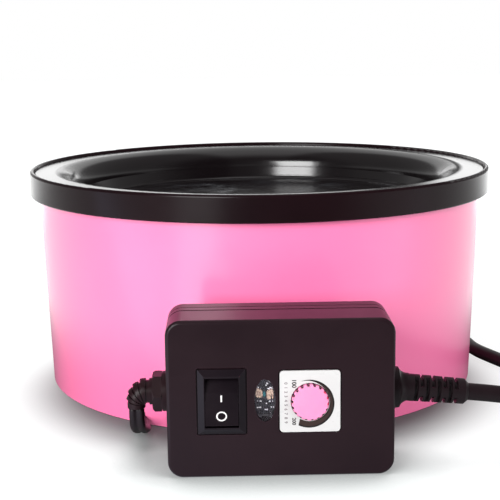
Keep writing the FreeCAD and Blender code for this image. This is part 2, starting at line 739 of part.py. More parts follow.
def lead_anchor():
    """Rubber block under the base plate that grips the end of the pot lead."""
    shoulder = BASE_RADIUS - ANCHOR_FIT
    tall = notch_tool(ANCHOR_WIDTH, BASE_BOTTOM, shoulder, ANCHOR_INNER)
    tongue = notch_tool(NOTCH_WIDTH - 2 * ANCHOR_FIT, NOTCH_TOP - ANCHOR_FIT, ANCHOR_OUTER,
                        shoulder)
    floor_gap = notch_tool(ANCHOR_WIDTH + 2 * ANCHOR_FIT, ANCHOR_LIFT, SHELL_BASE_RADIUS,
                           ANCHOR_INNER - ANCHOR_FIT)
    return tall.fuse(tongue).cut(floor_gap).removeSplitter()


def terminal_block():
    """Ceramic block on the base plate where the lead meets the heater wires."""
    body = block(-BLOCK_LENGTH / 2, BLOCK_LENGTH / 2, BLOCK_PLACE_Y - BLOCK_WIDTH / 2,
                 BLOCK_PLACE_Y + BLOCK_WIDTH / 2, BASE_TOP, BASE_TOP + BLOCK_HEIGHT)
    wells = []
    for x in (-BLOCK_LENGTH / 4, BLOCK_LENGTH / 4):
        for y in (-BLOCK_WIDTH / 4, BLOCK_WIDTH / 4):
            wells.append(disc(BLOCK_SCREW_RADIUS + CASE_FIT, BLOCK_TOP - BLOCK_WELL, BLOCK_WELL,
                              x, BLOCK_PLACE_Y + y))
    return body.cut(wells)


def terminal_screws():
    """Four slotted screws in the terminal block."""
    screws = []
    low = BLOCK_TOP - BLOCK_WELL
    top = low + BLOCK_SCREW_LENGTH
    for x in (-BLOCK_LENGTH / 4, BLOCK_LENGTH / 4):
        for y in (-BLOCK_WIDTH / 4, BLOCK_WIDTH / 4):
            screw = disc(BLOCK_SCREW_RADIUS, low, BLOCK_SCREW_LENGTH, x, BLOCK_PLACE_Y + y)
            slot = block(x - 3, x + 3, BLOCK_PLACE_Y + y - 0.4, BLOCK_PLACE_Y + y + 0.4,
                         top - 0.8, top)
            screws.append(screw.cut(slot))
    return group(screws)


def heater_wires():
    """Two insulated wires from the terminal block up to the element's pins."""
    bend = WIRE_BEND
    wires = []
    for side in (-1, 1):
        pin = pin_place(side)
        start = V(side * BLOCK_LENGTH / 4, BLOCK_PLACE_Y - BLOCK_WIDTH / 2,
                  BASE_TOP + BLOCK_HEIGHT / 2)
        route = [
            start,
            start + V(0, -bend, 0),
            start + V(side * 0.8 * bend, -1.7 * bend, 1.2 * bend),
            V(pin.x - side * 0.24 * bend, pin.y - 0.32 * bend, start.z + 3 * bend),
            V(pin.x, pin.y, start.z + 5 * bend),
            pin,
        ]
        wires.append(tube_along("heater wire", route, WIRE_RADIUS))
    return group(wires)


def lead_wires():
    """The lead's two cores, from the anchor up through the base plate to the block."""
    bend = WIRE_BEND
    hole = lead_hole_centre()
    wires = []
    for side in (-1, 1):
        start = V(hole.x + side * LEAD_CORE_SPACING / 2, hole.y, BASE_BOTTOM)
        finish = V(-BLOCK_LENGTH / 2, BLOCK_PLACE_Y + side * BLOCK_WIDTH / 4,
                   BASE_TOP + BLOCK_HEIGHT / 2)
        route = [
            start,
            start + V(0, 0, 1.2 * bend),
            start + V((0.6 - 0.2 * side) * bend, 1.6 * bend, 1.9 * bend),
            finish + V(-2 * bend, (0.2 * side - 1.6) * bend, 0.2 * bend),
            finish + V(-bend, 0, 0),
            finish,
        ]
        wires.append(tube_along("lead wire", route, WIRE_RADIUS))
    return group(wires)


# ---------------------------------------------------------------- control box
def boss_places():
    """Where the four case screws stand, in X and Z."""
    reach_x = BOX_WIDTH / 2 - BOX_BOSS_INSET
    reach_z = BOX_HEIGHT / 2 - BOX_BOSS_INSET
    return [(BOX_CENTRE_X + a * reach_x, BOX_MIDDLE_Z + b * reach_z)
            for a in (-1, 1) for b in (-1, 1)]


def board_posts():
    """Where the circuit board's posts stand, in X and Z."""
    reach_x = BOARD_WIDTH / 2 - BOARD_POST_INSET
    reach_z = BOARD_HEIGHT / 2 - BOARD_POST_INSET
    return [(BOARD_CENTRE_X + a * reach_x, BOX_MIDDLE_Z + b * reach_z)
            for a in (-1, 1) for b in (-1, 1)]


def side_holes():
    """Round holes through the box's two sides for the gland and the strain relief."""
    left = cylinder_x(GLAND_THREAD_RADIUS, BOX_LEFT_X - 1, BOX_LEFT_X + BOX_WALL + 0.01,
                      BOX_MIDDLE_Y, CORD_EXIT_Z)
    right = cylinder_x(BOOT_NECK_RADIUS, BOX_RIGHT_X - BOX_WALL - 0.01, BOX_RIGHT_X + 1,
                       BOX_MIDDLE_Y, CORD_EXIT_Z)
    return [left, right]


def lens_prism(margin, front, back):
    """An upright elliptical prism, margin wider than the lens all round."""
    ellipse = Part.Ellipse(V(LENS_X, front, LENS_Z + LENS_HEIGHT / 2 + margin),
                           V(LENS_X + LENS_WIDTH / 2 + margin, front, LENS_Z),
                           V(LENS_X, front, LENS_Z))
    return Part.Face(Part.Wire([ellipse.toShape()])).extrude(V(0, back - front, 0))


def trim_grooves():
    """Fine grooves in the front face round the switch's bezel and the dial's plate."""
    grooves = []
    trims = [(SWITCH_X, SWITCH_Z, BEZEL_WIDTH, BEZEL_HEIGHT, TRIM_GROOVE_CORNER),
             (DIAL_X, DIAL_Z + DIAL_PLATE_LIFT, DIAL_PLATE_WIDTH, DIAL_PLATE_HEIGHT,
              DIAL_PLATE_CORNER)]
    for x, z, width, height, corner in trims:
        back = BOX_FRONT_Y + TRIM_GROOVE_DEPTH
        outer = rounded_panel(x, z, width + 2 * TRIM_GROOVE, height + 2 * TRIM_GROOVE,
                              corner + TRIM_GROOVE, BOX_FRONT_Y - 1, back)
        inner = rounded_panel(x, z, width, height, corner, BOX_FRONT_Y - 1, back)
        grooves.append(outer.cut(inner))
    return grooves


def control_box_front():
    """Front half of the box with its face, rounded front edge and inner posts."""
    body = rounded_panel(BOX_CENTRE_X, BOX_MIDDLE_Z, BOX_WIDTH, BOX_HEIGHT, BOX_CORNER,
                         BOX_FRONT_Y, PARTING_Y)
    front_edges = [e for e in body.Edges
                   if e.BoundBox.YMax < BOX_FRONT_Y + 0.01]
    body = body.makeFillet(BOX_EDGE_ROUND, front_edges)
    hollow = rounded_panel(BOX_CENTRE_X, BOX_MIDDLE_Z, BOX_WIDTH - 2 * BOX_WALL,
                           BOX_HEIGHT - 2 * BOX_WALL, BOX_CORNER - BOX_WALL,
                           INNER_FRONT_Y, PARTING_Y)
    body = body.cut(hollow)
    bosses = [cylinder_y(BOX_BOSS_RADIUS, INNER_FRONT_Y - 0.5, PARTING_Y, x, z)
              for x, z in boss_places()]
    posts = [cylinder_y(BOARD_POST_RADIUS, INNER_FRONT_Y - 0.5, BOARD_Y, x, z)
             for x, z in board_posts()]
    body = body.fuse(bosses + posts)
    pilots = [cylinder_y(BOX_SCREW_RADIUS, screw_tip_y() - 0.5, PARTING_Y, x, z)
              for x, z in boss_places()]
    switch_hole = block(SWITCH_X - SWITCH_BODY_WIDTH / 2, SWITCH_X + SWITCH_BODY_WIDTH / 2,
                        BOX_FRONT_Y - 1, INNER_FRONT_Y + 0.01,
                        SWITCH_Z - SWITCH_BODY_HEIGHT / 2, SWITCH_Z + SWITCH_BODY_HEIGHT / 2)
    dial_hole = cylinder_y(KNOB_RADIUS + KNOB_GAP, BOX_FRONT_Y - 1, INNER_FRONT_Y + 0.01,
                           DIAL_X, DIAL_Z)
    lens_hole = lens_prism(LENS_GAP, BOX_FRONT_Y - 1, INNER_FRONT_Y + 0.01)
    body = body.cut(pilots + [switch_hole, dial_hole, lens_hole] + side_holes())
    body = body.cut(trim_grooves())
    seam = seam_frame(PARTING_Y - SEAM_WIDTH / 2, PARTING_Y)
    return body.cut(seam).removeSplitter()


def seam_frame(front, back):
    """A shallow frame-shaped cut around the box's outside."""
    outer = rounded_panel(BOX_CENTRE_X, BOX_MIDDLE_Z, BOX_WIDTH + 2, BOX_HEIGHT + 2,
                          BOX_CORNER + 1, front, back)
    inner = rounded_panel(BOX_CENTRE_X, BOX_MIDDLE_Z, BOX_WIDTH - 2 * SEAM_DEPTH,
                          BOX_HEIGHT - 2 * SEAM_DEPTH, BOX_CORNER - SEAM_DEPTH, front, back)
    return outer.cut(inner)


def screw_tip_y():
    """Y of the case screws' tips."""
    return BOX_BACK_Y - BOX_SCREW_SUNK - BOX_SCREW_LENGTH


def control_box_back():
    """Back half of the box with four counterbored screw bosses."""
    body = rounded_panel(BOX_CENTRE_X, BOX_MIDDLE_Z, BOX_WIDTH, BOX_HEIGHT, BOX_CORNER,
                         PARTING_Y, BOX_BACK_Y)
    back_edges = [e for e in body.Edges if e.BoundBox.YMin > BOX_BACK_Y - 0.01]
    body = body.makeFillet(BOX_EDGE_ROUND, back_edges)
    hollow = rounded_panel(BOX_CENTRE_X, BOX_MIDDLE_Z, BOX_WIDTH - 2 * BOX_WALL,
                           BOX_HEIGHT - 2 * BOX_WALL, BOX_CORNER - BOX_WALL,
                           PARTING_Y, INNER_BACK_Y)
    body = body.cut(hollow)
    bosses = [cylinder_y(BOX_BOSS_RADIUS, PARTING_Y, INNER_BACK_Y + 0.5, x, z)
              for x, z in boss_places()]
    body = body.fuse(bosses)
    shanks = [cylinder_y(BOX_SCREW_RADIUS + CASE_FIT, PARTING_Y, BOX_BACK_Y, x, z)
              for x, z in boss_places()]
    heads = [cylinder_y(BOX_SCREW_HEAD + CASE_FIT, BOX_BACK_Y - BOX_HEAD_SEAT, BOX_BACK_Y + 0.1, x, z)
             for x, z in boss_places()]
    groove_y = BOX_BACK_Y - GROOVE_FROM_BACK
    groove = seam_frame(groove_y - GROOVE_WIDTH / 2, groove_y + GROOVE_WIDTH / 2)
    seam = seam_frame(PARTING_Y, PARTING_Y + SEAM_WIDTH / 2)
    return body.cut(shanks + heads + side_holes()).cut(groove).cut(seam).removeSplitter()


def case_screws():
    """Four cross-head screws from the back."""
    seat = BOX_BACK_Y - BOX_HEAD_SEAT
    crest = BOX_BACK_Y - BOX_SCREW_SUNK
    screws = []
    for x, z in boss_places():
        shank = cylinder_y(BOX_SCREW_RADIUS, screw_tip_y(), seat, x, z)
        head = cylinder_y(BOX_SCREW_HEAD, seat, crest, x, z)
        slots = [block(x - 1.5, x + 1.5, crest - 0.8, crest, z - 0.3, z + 0.3),
                 block(x - 0.3, x + 0.3, crest - 0.8, crest, z - 1.5, z + 1.5)]
        screws.append(shank.fuse(head).cut(slots).removeSplitter())
    return group(screws)


# ---------------------------------------------------------------- rocker switch
BEZEL_FACE_Y = BOX_FRONT_Y - BEZEL_RISE
PIVOT_Y = BEZEL_FACE_Y + ROCKER_PIVOT_DEPTH


def rectangle_xz(x, z, width, height, y):
    """A closed rectangle facing -Y."""
    a, b = width / 2, height / 2
    return Part.makePolygon([V(x - a, y, z - b), V(x + a, y, z - b), V(x + a, y, z + b),
                             V(x - a, y, z + b), V(x - a, y, z - b)])


def switch_body():
    """Switch housing with a bevelled flange and a well for the rocker."""
    edge = 0.4
    foot = rectangle_xz(SWITCH_X, SWITCH_Z, BEZEL_WIDTH, BEZEL_HEIGHT, BOX_FRONT_Y)
    rise = rectangle_xz(SWITCH_X, SWITCH_Z, BEZEL_WIDTH, BEZEL_HEIGHT, BOX_FRONT_Y - edge)
    crest = rectangle_xz(SWITCH_X, SWITCH_Z, BEZEL_WIDTH - 2 * BEZEL_BEVEL,
                         BEZEL_HEIGHT - 2 * BEZEL_BEVEL, BEZEL_FACE_Y)
    flange = Part.makeLoft([foot, rise], True, True).fuse(Part.makeLoft([rise, crest], True, True))
    housing = block(SWITCH_X - SWITCH_BODY_WIDTH / 2, SWITCH_X + SWITCH_BODY_WIDTH / 2,
                    BOX_FRONT_Y, BOX_FRONT_Y + SWITCH_BODY_DEPTH,
                    SWITCH_Z - SWITCH_BODY_HEIGHT / 2, SWITCH_Z + SWITCH_BODY_HEIGHT / 2)
    well = block(SWITCH_X - SWITCH_OPEN_WIDTH / 2, SWITCH_X + SWITCH_OPEN_WIDTH / 2,
                 BEZEL_FACE_Y - 1, BEZEL_FACE_Y + SWITCH_WELL_DEPTH,
                 SWITCH_Z - SWITCH_OPEN_HEIGHT / 2, SWITCH_Z + SWITCH_OPEN_HEIGHT / 2)
    pivots = cylinder_x(TRUNNION_RADIUS + PIVOT_GAP, SWITCH_X - SWITCH_BODY_WIDTH / 2 + 0.3,
                        SWITCH_X + SWITCH_BODY_WIDTH / 2 - 0.3, PIVOT_Y, SWITCH_Z)
    return flange.fuse(housing).cut(well).cut(pivots).removeSplitter()


def rocker_point(up, out):
    """A point of the rocker's outline: up from its pivot and out of the face."""
    return V(SWITCH_X - SWITCH_OPEN_WIDTH / 2 + ROCKER_SIDE_GAP, PIVOT_Y - out, SWITCH_Z + up)


def arc_height(out):
    """How far from the pivot's height the rocker's round ends are, out from the pivot."""
    return math.sqrt(ROCKER_RADIUS ** 2 - out ** 2)


def switch_rocker():
    """Rocker with two flats, round ends and two trunnions; its upper end is pressed in."""
    low = rocker_point(-arc_height(ROCKER_LOW_STAND), ROCKER_LOW_STAND)
    bend = rocker_point(ROCKER_BEND_UP, ROCKER_BEND_STAND)
    top = rocker_point(arc_height(ROCKER_TOP_STAND), ROCKER_TOP_STAND)
    back_top = rocker_point(arc_height(-ROCKER_BACK), -ROCKER_BACK)
    back_low = rocker_point(-arc_height(-ROCKER_BACK), -ROCKER_BACK)
    upper_out = (ROCKER_TOP_STAND - ROCKER_BACK) / 2
    lower_out = (ROCKER_LOW_STAND - ROCKER_BACK) / 2
    upper_arc = Part.Arc(top, rocker_point(arc_height(upper_out), upper_out), back_top)
    lower_arc = Part.Arc(back_low, rocker_point(-arc_height(lower_out), lower_out), low)
    outline = Part.Wire([
        Part.makeLine(low, bend), Part.makeLine(bend, top), upper_arc.toShape(),
        Part.makeLine(back_top, back_low), lower_arc.toShape()])
    width = SWITCH_OPEN_WIDTH - 2 * ROCKER_SIDE_GAP
    body = Part.Face(outline).extrude(V(width, 0, 0))
    reach = SWITCH_BODY_WIDTH / 2 - 0.5
    trunnions = cylinder_x(TRUNNION_RADIUS, SWITCH_X - reach, SWITCH_X + reach,
                           PIVOT_Y, SWITCH_Z)
    return body.fuse(trunnions).removeSplitter()


def switch_tabs():
    """Two flat terminals on the back of the switch."""
    back = BOX_FRONT_Y + SWITCH_BODY_DEPTH
    return group([block(SWITCH_X - TAB_WIDTH / 2, SWITCH_X + TAB_WIDTH / 2, back,
                        back + TAB_LENGTH, SWITCH_Z + lift - TAB_THICKNESS / 2,
                        SWITCH_Z + lift + TAB_THICKNESS / 2)
                  for lift in (-TAB_SPACING / 2, TAB_SPACING / 2)])


# ---------------------------------------------------------------- lens and lamps
def indicator_lens():
    """Clear oval lens with a chamfered face and a flange behind the wall."""
    body = lens_prism(0.0, BOX_FRONT_Y - LENS_RISE, INNER_FRONT_Y)
    face_edge = [e for e in body.Edges if e.BoundBox.YMax < BOX_FRONT_Y - LENS_RISE + 0.01]
    body = body.makeChamfer(LENS_CHAMFER, face_edge)
    flange = lens_prism(LENS_FLANGE, INNER_FRONT_Y, INNER_FRONT_Y + LENS_FLANGE_THICKNESS)
    return body.fuse(flange).removeSplitter()


def indicator_lamps():
    """Two small lamps on the circuit board behind the lens."""
    lamps = []
    for lift in (-LAMP_SPACING / 2, LAMP_SPACING / 2):
        z = LENS_Z + lift
        glass = cylinder_y(LAMP_RADIUS, BOARD_Y - LAMP_LENGTH, BOARD_Y, LENS_X, z)
        dome = Part.makeSphere(LAMP_RADIUS, V(LENS_X, BOARD_Y - LAMP_LENGTH, z))
        lamps.append(glass.fuse(dome).removeSplitter())
    return group(lamps)


# ---------------------------------------------------------------- dial
PLATE_FACE_Y = BOX_FRONT_Y - DIAL_PLATE_THICKNESS
KNOB_FACE_Y = PLATE_FACE_Y - KNOB_PROUD
KNOB_BACK_Y = KNOB_FACE_Y + KNOB_LENGTH


def dial_plate():
    """White scale plate around the knob."""
    body = rounded_panel(DIAL_X, DIAL_Z + DIAL_PLATE_LIFT, DIAL_PLATE_WIDTH, DIAL_PLATE_HEIGHT,
                         DIAL_PLATE_CORNER, PLATE_FACE_Y, BOX_FRONT_Y)
    return body.cut(cylinder_y(KNOB_RADIUS + KNOB_GAP, PLATE_FACE_Y, BOX_FRONT_Y,
                               DIAL_X, DIAL_Z))


def dial_knob():
    """Fluted thumb knob with a round socket for the shaft."""
    body = cylinder_y(KNOB_RADIUS, KNOB_FACE_Y, KNOB_BACK_Y, DIAL_X, DIAL_Z)
    rim = [e for e in body.Edges if e.BoundBox.YMax < KNOB_FACE_Y + 0.01]
    body = body.makeChamfer(KNOB_EDGE, rim)
    flutes = []
    for index in range(KNOB_FLUTES):
        angle = math.radians(360.0 * index / KNOB_FLUTES + KNOB_FLUTE_PHASE)
        flutes.append(cylinder_y(KNOB_FLUTE_RADIUS, KNOB_FACE_Y - 1, KNOB_BACK_Y + 1,
                                 DIAL_X + KNOB_RADIUS * math.cos(angle),
                                 DIAL_Z + KNOB_RADIUS * math.sin(angle)))
    socket = cylinder_y(SHAFT_RADIUS, KNOB_BACK_Y - SHAFT_SOCKET, KNOB_BACK_Y, DIAL_X, DIAL_Z)
    return body.cut(flutes).cut(socket)


def dial_shaft():
    """Steel shaft from the knob's socket into the potentiometer."""
    return cylinder_y(SHAFT_RADIUS, KNOB_BACK_Y - SHAFT_SOCKET, BOARD_Y - 1.0, DIAL_X, DIAL_Z)


def potentiometer():
    """Potentiometer on the board, with a bush around the shaft."""
    half = POT_BODY_SIZE / 2
    front = BOARD_Y - POT_BODY_DEPTH
    body = block(DIAL_X - half, DIAL_X + half, front, BOARD_Y, DIAL_Z - half, DIAL_Z + half)
    bush = cylinder_y(POT_BUSH_RADIUS, front - POT_BUSH_LENGTH, front, DIAL_X, DIAL_Z)
    bore = cylinder_y(SHAFT_RADIUS + SHAFT_FIT, front - POT_BUSH_LENGTH, BOARD_Y - 1.0 + 0.1,
                      DIAL_X, DIAL_Z)
    return body.fuse(bush).cut(bore).removeSplitter()


# ---------------------------------------------------------------- circuit board
def circuit_board():
    """Board on the front half's posts."""
    return block(BOARD_CENTRE_X - BOARD_WIDTH / 2, BOARD_CENTRE_X + BOARD_WIDTH / 2,
                 BOARD_Y, BOARD_Y + BOARD_THICKNESS,
                 BOX_MIDDLE_Z - BOARD_HEIGHT / 2, BOX_MIDDLE_Z + BOARD_HEIGHT / 2)


BOARD_BACK_Y = BOARD_Y + BOARD_THICKNESS


def triac():
    """Power switch standing off the back of the board."""
    x = BOARD_CENTRE_X + BOARD_WIDTH / 2 - TRIAC_WIDTH - 2
    z = BOX_MIDDLE_Z + 1.0
    return block(x, x + TRIAC_WIDTH, BOARD_BACK_Y, BOARD_BACK_Y + TRIAC_THICKNESS,
                 z, z + TRIAC_HEIGHT)


def heat_sink():
    """Aluminium plate on the power switch."""
    x = BOARD_CENTRE_X + BOARD_WIDTH / 2 - 2 - TRIAC_WIDTH / 2 - SINK_WIDTH / 2
    z = BOX_MIDDLE_Z - 2.5
    y = BOARD_BACK_Y + TRIAC_THICKNESS
    return block(x, x + SINK_WIDTH, y, y + SINK_THICKNESS, z, z + SINK_HEIGHT)


def board_components():
    """Capacitor, choke, resistor and diac on the back of the board."""
    y = BOARD_BACK_Y
    left = BOARD_CENTRE_X - BOARD_WIDTH / 2
    low = BOX_MIDDLE_Z - BOARD_HEIGHT / 2
    capacitor = block(left + CAPACITOR_X, left + CAPACITOR_X + CAPACITOR_WIDTH,
                      y, y + CAPACITOR_DEPTH,
                      low + CAPACITOR_Z, low + CAPACITOR_Z + CAPACITOR_HEIGHT)
    choke = cylinder_y(CHOKE_RADIUS, y, y + CHOKE_LENGTH, left + CHOKE_X, low + CHOKE_Z)
    resistor = cylinder_x(RESISTOR_RADIUS, left + RESISTOR_X,
                          left + RESISTOR_X + RESISTOR_LENGTH,
                          y + RESISTOR_RADIUS, low + RESISTOR_Z)
    diac = cylinder_x(DIAC_RADIUS, left + DIAC_X, left + DIAC_X + DIAC_LENGTH,
                      y + DIAC_RADIUS, low + DIAC_Z)
    return group([capacitor, choke, resistor, diac])


def box_wires():
    """Three insulated wires between the two cords, the board and the switch."""
    bend = BOX_WIRE_BEND
    back = BOARD_BACK_Y
    front = BOARD_Y
    tab_top = SWITCH_Z + TAB_SPACING / 2
    tab_low = SWITCH_Z - TAB_SPACING / 2 - TAB_THICKNESS / 2
    gland_end = V(BOX_LEFT_X + BOX_WALL + GLAND_THREAD_LENGTH, BOX_MIDDLE_Y, CORD_EXIT_Z)
    boot_end = V(BOX_RIGHT_X - BOX_WALL - BOOT_COLLAR_THICKNESS,
                 BOX_MIDDLE_Y - 0.425 * bend, CORD_EXIT_Z - 0.3 * bend)
    pad = V(BOARD_CENTRE_X - BOARD_WIDTH / 2 + 0.825 * bend, back, SWITCH_Z + 2.3 * bend)
    lower_pad = V(pad.x, back, SWITCH_Z + 1.2 * bend)
    out_of_board = V(0, 0.75 * bend, 0)
    routes = [
        [gland_end, gland_end + V(0.55, 0.125, 0.325) * bend,
         V(SWITCH_X - 2 * bend, back - 0.15 * bend, SWITCH_Z + 1.2 * bend),
         V(SWITCH_X - 0.775 * bend, back + 0.55 * bend, SWITCH_Z + 2.05 * bend),
         V(SWITCH_X + 1.225 * bend, back + 0.7 * bend, SWITCH_Z + 2.4 * bend),
         pad + out_of_board, pad],
        [lower_pad, lower_pad + out_of_board,
         V(SWITCH_X + 1.975 * bend, back + 0.85 * bend, tab_top + 0.15 * bend),
         V(SWITCH_X + 1.375 * bend, back + 0.2 * bend, tab_top),
         V(SWITCH_X + TAB_WIDTH / 2, back + 0.2 * bend, tab_top)],
        [boot_end, boot_end + V(-1.15 * bend, 0, 0),
         V(DIAL_X + 3.3 * bend, front - 1.5 * bend, boot_end.z - 1.4 * bend),
         V(DIAL_X + 1.95 * bend, front - 1.55 * bend, 2.9 * bend),
         V(DIAL_X - 0.2 * bend, front - 1.55 * bend, 2.1 * bend),
         V(DIAL_X - 3.7 * bend, front - 1.35 * bend, 2 * bend),
         V(SWITCH_X + 1.375 * bend, front - 0.4 * bend, 2.45 * bend),
         V(SWITCH_X + 0.325 * bend, back - 0.05 * bend, 3.5 * bend),
         V(SWITCH_X, back - 0.15 * bend, tab_low - 0.875 * bend),
         V(SWITCH_X, back - 0.15 * bend, tab_low)],
    ]
    return group([tube_along("box wire", route, BOX_WIRE_RADIUS) for route in routes])


# ---------------------------------------------------------------- gland and pot lead
FLANGE_X = BOX_LEFT_X - GLAND_FLANGE_THICKNESS
NUT_RIGHT_X = FLANGE_X - GLAND_NECK_LENGTH
NUT_LEFT_X = NUT_RIGHT_X - GLAND_NUT_THICKNESS
ELBOW_BEND = ELBOW_TIP_RADIUS + ELBOW_INNER_GAP
ELBOW_PIVOT = V(NUT_LEFT_X - ELBOW_LEAD_IN, BOX_MIDDLE_Y,
                CORD_EXIT_Z - ELBOW_RADIUS - ELBOW_INNER_GAP)
LEAD_EXIT = ELBOW_PIVOT + V(-ELBOW_BEND, 0, -ELBOW_TIP_LENGTH)


def gland_body():
    """Flange and thread of the left gland, through the box's wall."""
    flange = cylinder_x(GLAND_FLANGE_RADIUS, FLANGE_X, BOX_LEFT_X, BOX_MIDDLE_Y, CORD_EXIT_Z)
    thread_end = BOX_LEFT_X + BOX_WALL + GLAND_THREAD_LENGTH
    thread = cylinder_x(GLAND_THREAD_RADIUS, NUT_LEFT_X, thread_end, BOX_MIDDLE_Y, CORD_EXIT_Z)
    bore = cylinder_x(GLAND_BORE_RADIUS, NUT_LEFT_X, thread_end, BOX_MIDDLE_Y, CORD_EXIT_Z)
    neck = cylinder_x(GLAND_NECK_RADIUS, NUT_RIGHT_X, FLANGE_X, BOX_MIDDLE_Y, CORD_EXIT_Z)
    return flange.fuse([neck, thread]).cut(bore).removeSplitter()


def gland_nut():
    """Outer hexagonal nut of the gland."""
    start = V(NUT_RIGHT_X, BOX_MIDDLE_Y, CORD_EXIT_Z)
    nut = hexagon(GLAND_NUT_CORNERS, start, V(-1, 0, 0), GLAND_NUT_THICKNESS, GLAND_NUT_TURN)
    cone_length = GLAND_NUT_THICKNESS
    cone = Part.makeCone(GLAND_NUT_CORNERS / 2 + cone_length - GLAND_NUT_CHAMFER,
                         GLAND_NUT_CORNERS / 2 - GLAND_NUT_CHAMFER, cone_length,
                         start, V(-1, 0, 0))
    thread = cylinder_x(GLAND_THREAD_RADIUS, NUT_LEFT_X, NUT_RIGHT_X, BOX_MIDDLE_Y, CORD_EXIT_Z)
    return nut.common(cone).cut(thread)


def gland_locknut():
    """Thin nut inside the box."""
    inside = BOX_LEFT_X + BOX_WALL
    nut = hexagon(LOCKNUT_CORNERS, V(inside, BOX_MIDDLE_Y, CORD_EXIT_Z), ALONG_X,
                  LOCKNUT_THICKNESS)
    return nut.cut(cylinder_x(GLAND_THREAD_RADIUS, inside, inside + LOCKNUT_THICKNESS,
                              BOX_MIDDLE_Y, CORD_EXIT_Z))


def elbow_wedge(radius, reach, start_angle, sweep):
    """A stretch of round bar bent about the elbow's inner corner."""
    centre = ELBOW_PIVOT + V(0, 0, reach)
    section = Part.Face(Part.Wire([Part.makeCircle(radius, centre, ALONG_X)]))
    wedge = section.revolve(ELBOW_PIVOT, V(0, -1, 0), sweep)
    wedge.rotate(ELBOW_PIVOT, V(0, -1, 0), start_angle)
    return wedge


def gland_elbow():
    """Ribbed rubber elbow that turns the pot lead down."""
    collar = cylinder_x(ELBOW_RADIUS, NUT_LEFT_X - ELBOW_COLLAR_LENGTH, NUT_LEFT_X,
                        BOX_MIDDLE_Y, CORD_EXIT_Z)
    neck = cylinder_x(ELBOW_RADIUS - ELBOW_GROOVE, ELBOW_PIVOT.x, NUT_LEFT_X,
                      BOX_MIDDLE_Y, CORD_EXIT_Z)
    tip = Part.makeCylinder(ELBOW_TIP_RADIUS, ELBOW_TIP_LENGTH, LEAD_EXIT, UP)
    pitch = (ELBOW_TURN - ELBOW_RIB_ANGLE) / (ELBOW_RIBS - 1)
    taper = (ELBOW_RADIUS - ELBOW_TIP_RADIUS) / (ELBOW_RIBS - 1)
    wedges = []
    for index in range(ELBOW_RIBS):
        radius = ELBOW_RADIUS - taper * index
        wedges.append(elbow_wedge(radius, radius + ELBOW_INNER_GAP, pitch * index,
                                  ELBOW_RIB_ANGLE))
    for index in range(ELBOW_RIBS - 1):
        radius = ELBOW_RADIUS - taper * (index + 1)
        wedges.append(elbow_wedge(radius - ELBOW_GROOVE, radius + ELBOW_INNER_GAP,
                                  pitch * index + ELBOW_RIB_ANGLE, pitch - ELBOW_RIB_ANGLE))
    return collar.fuse([neck, tip] + wedges).removeSplitter()


# Hand-chosen route of the flat lead, from the elbow to the pot's lower edge.
LEAD_ROUTE = [
    LEAD_EXIT,
    LEAD_EXIT + V(0, 0, -5.4),
    V(-43.4, -111.4, 11.2),
    V(-43.1, -102.6, 7.9),
    V(-43.1, -92.0, 4.6),
    V(-44.2, -83.5, 2.6),
    V(-46.0, -77.0, 2.2),
    V(-46.5, -72.2, 2.2),
]


def pot_lead():
    """Flat two-core lead between the gland and the pot."""
    return tube_along("pot lead", LEAD_ROUTE, LEAD_DIAMETER / 2).cut(lead_anchor())


# ---------------------------------------------------------------- mains cord
BOOT_TILT_X = BOX_RIGHT_X + BOOT_FLARE_LENGTH + 1.4
BOOT_PIVOT = V(BOOT_TILT_X, BOX_MIDDLE_Y, CORD_EXIT_Z)
BOOT_RUN = BOOT_LENGTH - BOOT_FLARE_LENGTH - 1.4
BOOT_HEADING = V(math.cos(math.radians(BOOT_DROOP)), 0, -math.sin(math.radians(BOOT_DROOP)))
CORD_EXIT = BOOT_PIVOT + BOOT_HEADING * BOOT_RUN


def mains_boot():
    """Slotted strain relief: collar, flare and a drooping flexible body."""
    base = V(0, BOX_MIDDLE_Y, CORD_EXIT_Z)

    def at(x, radius):
        return base + V(x, 0, radius)

    root = spun([
        at(BOX_RIGHT_X - BOX_WALL - BOOT_COLLAR_THICKNESS, 0),
        at(BOX_RIGHT_X - BOX_WALL - BOOT_COLLAR_THICKNESS, BOOT_COLLAR_RADIUS),
        at(BOX_RIGHT_X - BOX_WALL, BOOT_COLLAR_RADIUS),
        at(BOX_RIGHT_X - BOX_WALL, BOOT_NECK_RADIUS),
        at(BOX_RIGHT_X, BOOT_NECK_RADIUS),
        at(BOX_RIGHT_X, BOOT_FLARE_RADIUS),
        at(BOX_RIGHT_X + BOOT_FLARE_LENGTH, BOOT_FLARE_RADIUS - 0.3),
        (at(BOX_RIGHT_X + BOOT_FLARE_LENGTH + 0.9, BOOT_NECK_RADIUS + 0.9),
         at(BOX_RIGHT_X + BOOT_NECK_START, BOOT_NECK_RADIUS)),
        at(BOX_RIGHT_X + BOOT_NECK_START, 0),
    ], base, ALONG_X)
    barrel_length = BOOT_RUN - BOOT_TIP_CHAMFER
    barrel = Part.makeCone(BOOT_NECK_RADIUS, BOOT_TIP_RADIUS, barrel_length,
                           BOOT_PIVOT, BOOT_HEADING)
    tip = Part.makeCone(BOOT_TIP_RADIUS, CORD_DIAMETER / 2 + 0.2, BOOT_TIP_CHAMFER,
                        BOOT_PIVOT + BOOT_HEADING * barrel_length, BOOT_HEADING)
    body = root.fuse([barrel, tip])
    return body.cut(boot_slots()).removeSplitter()


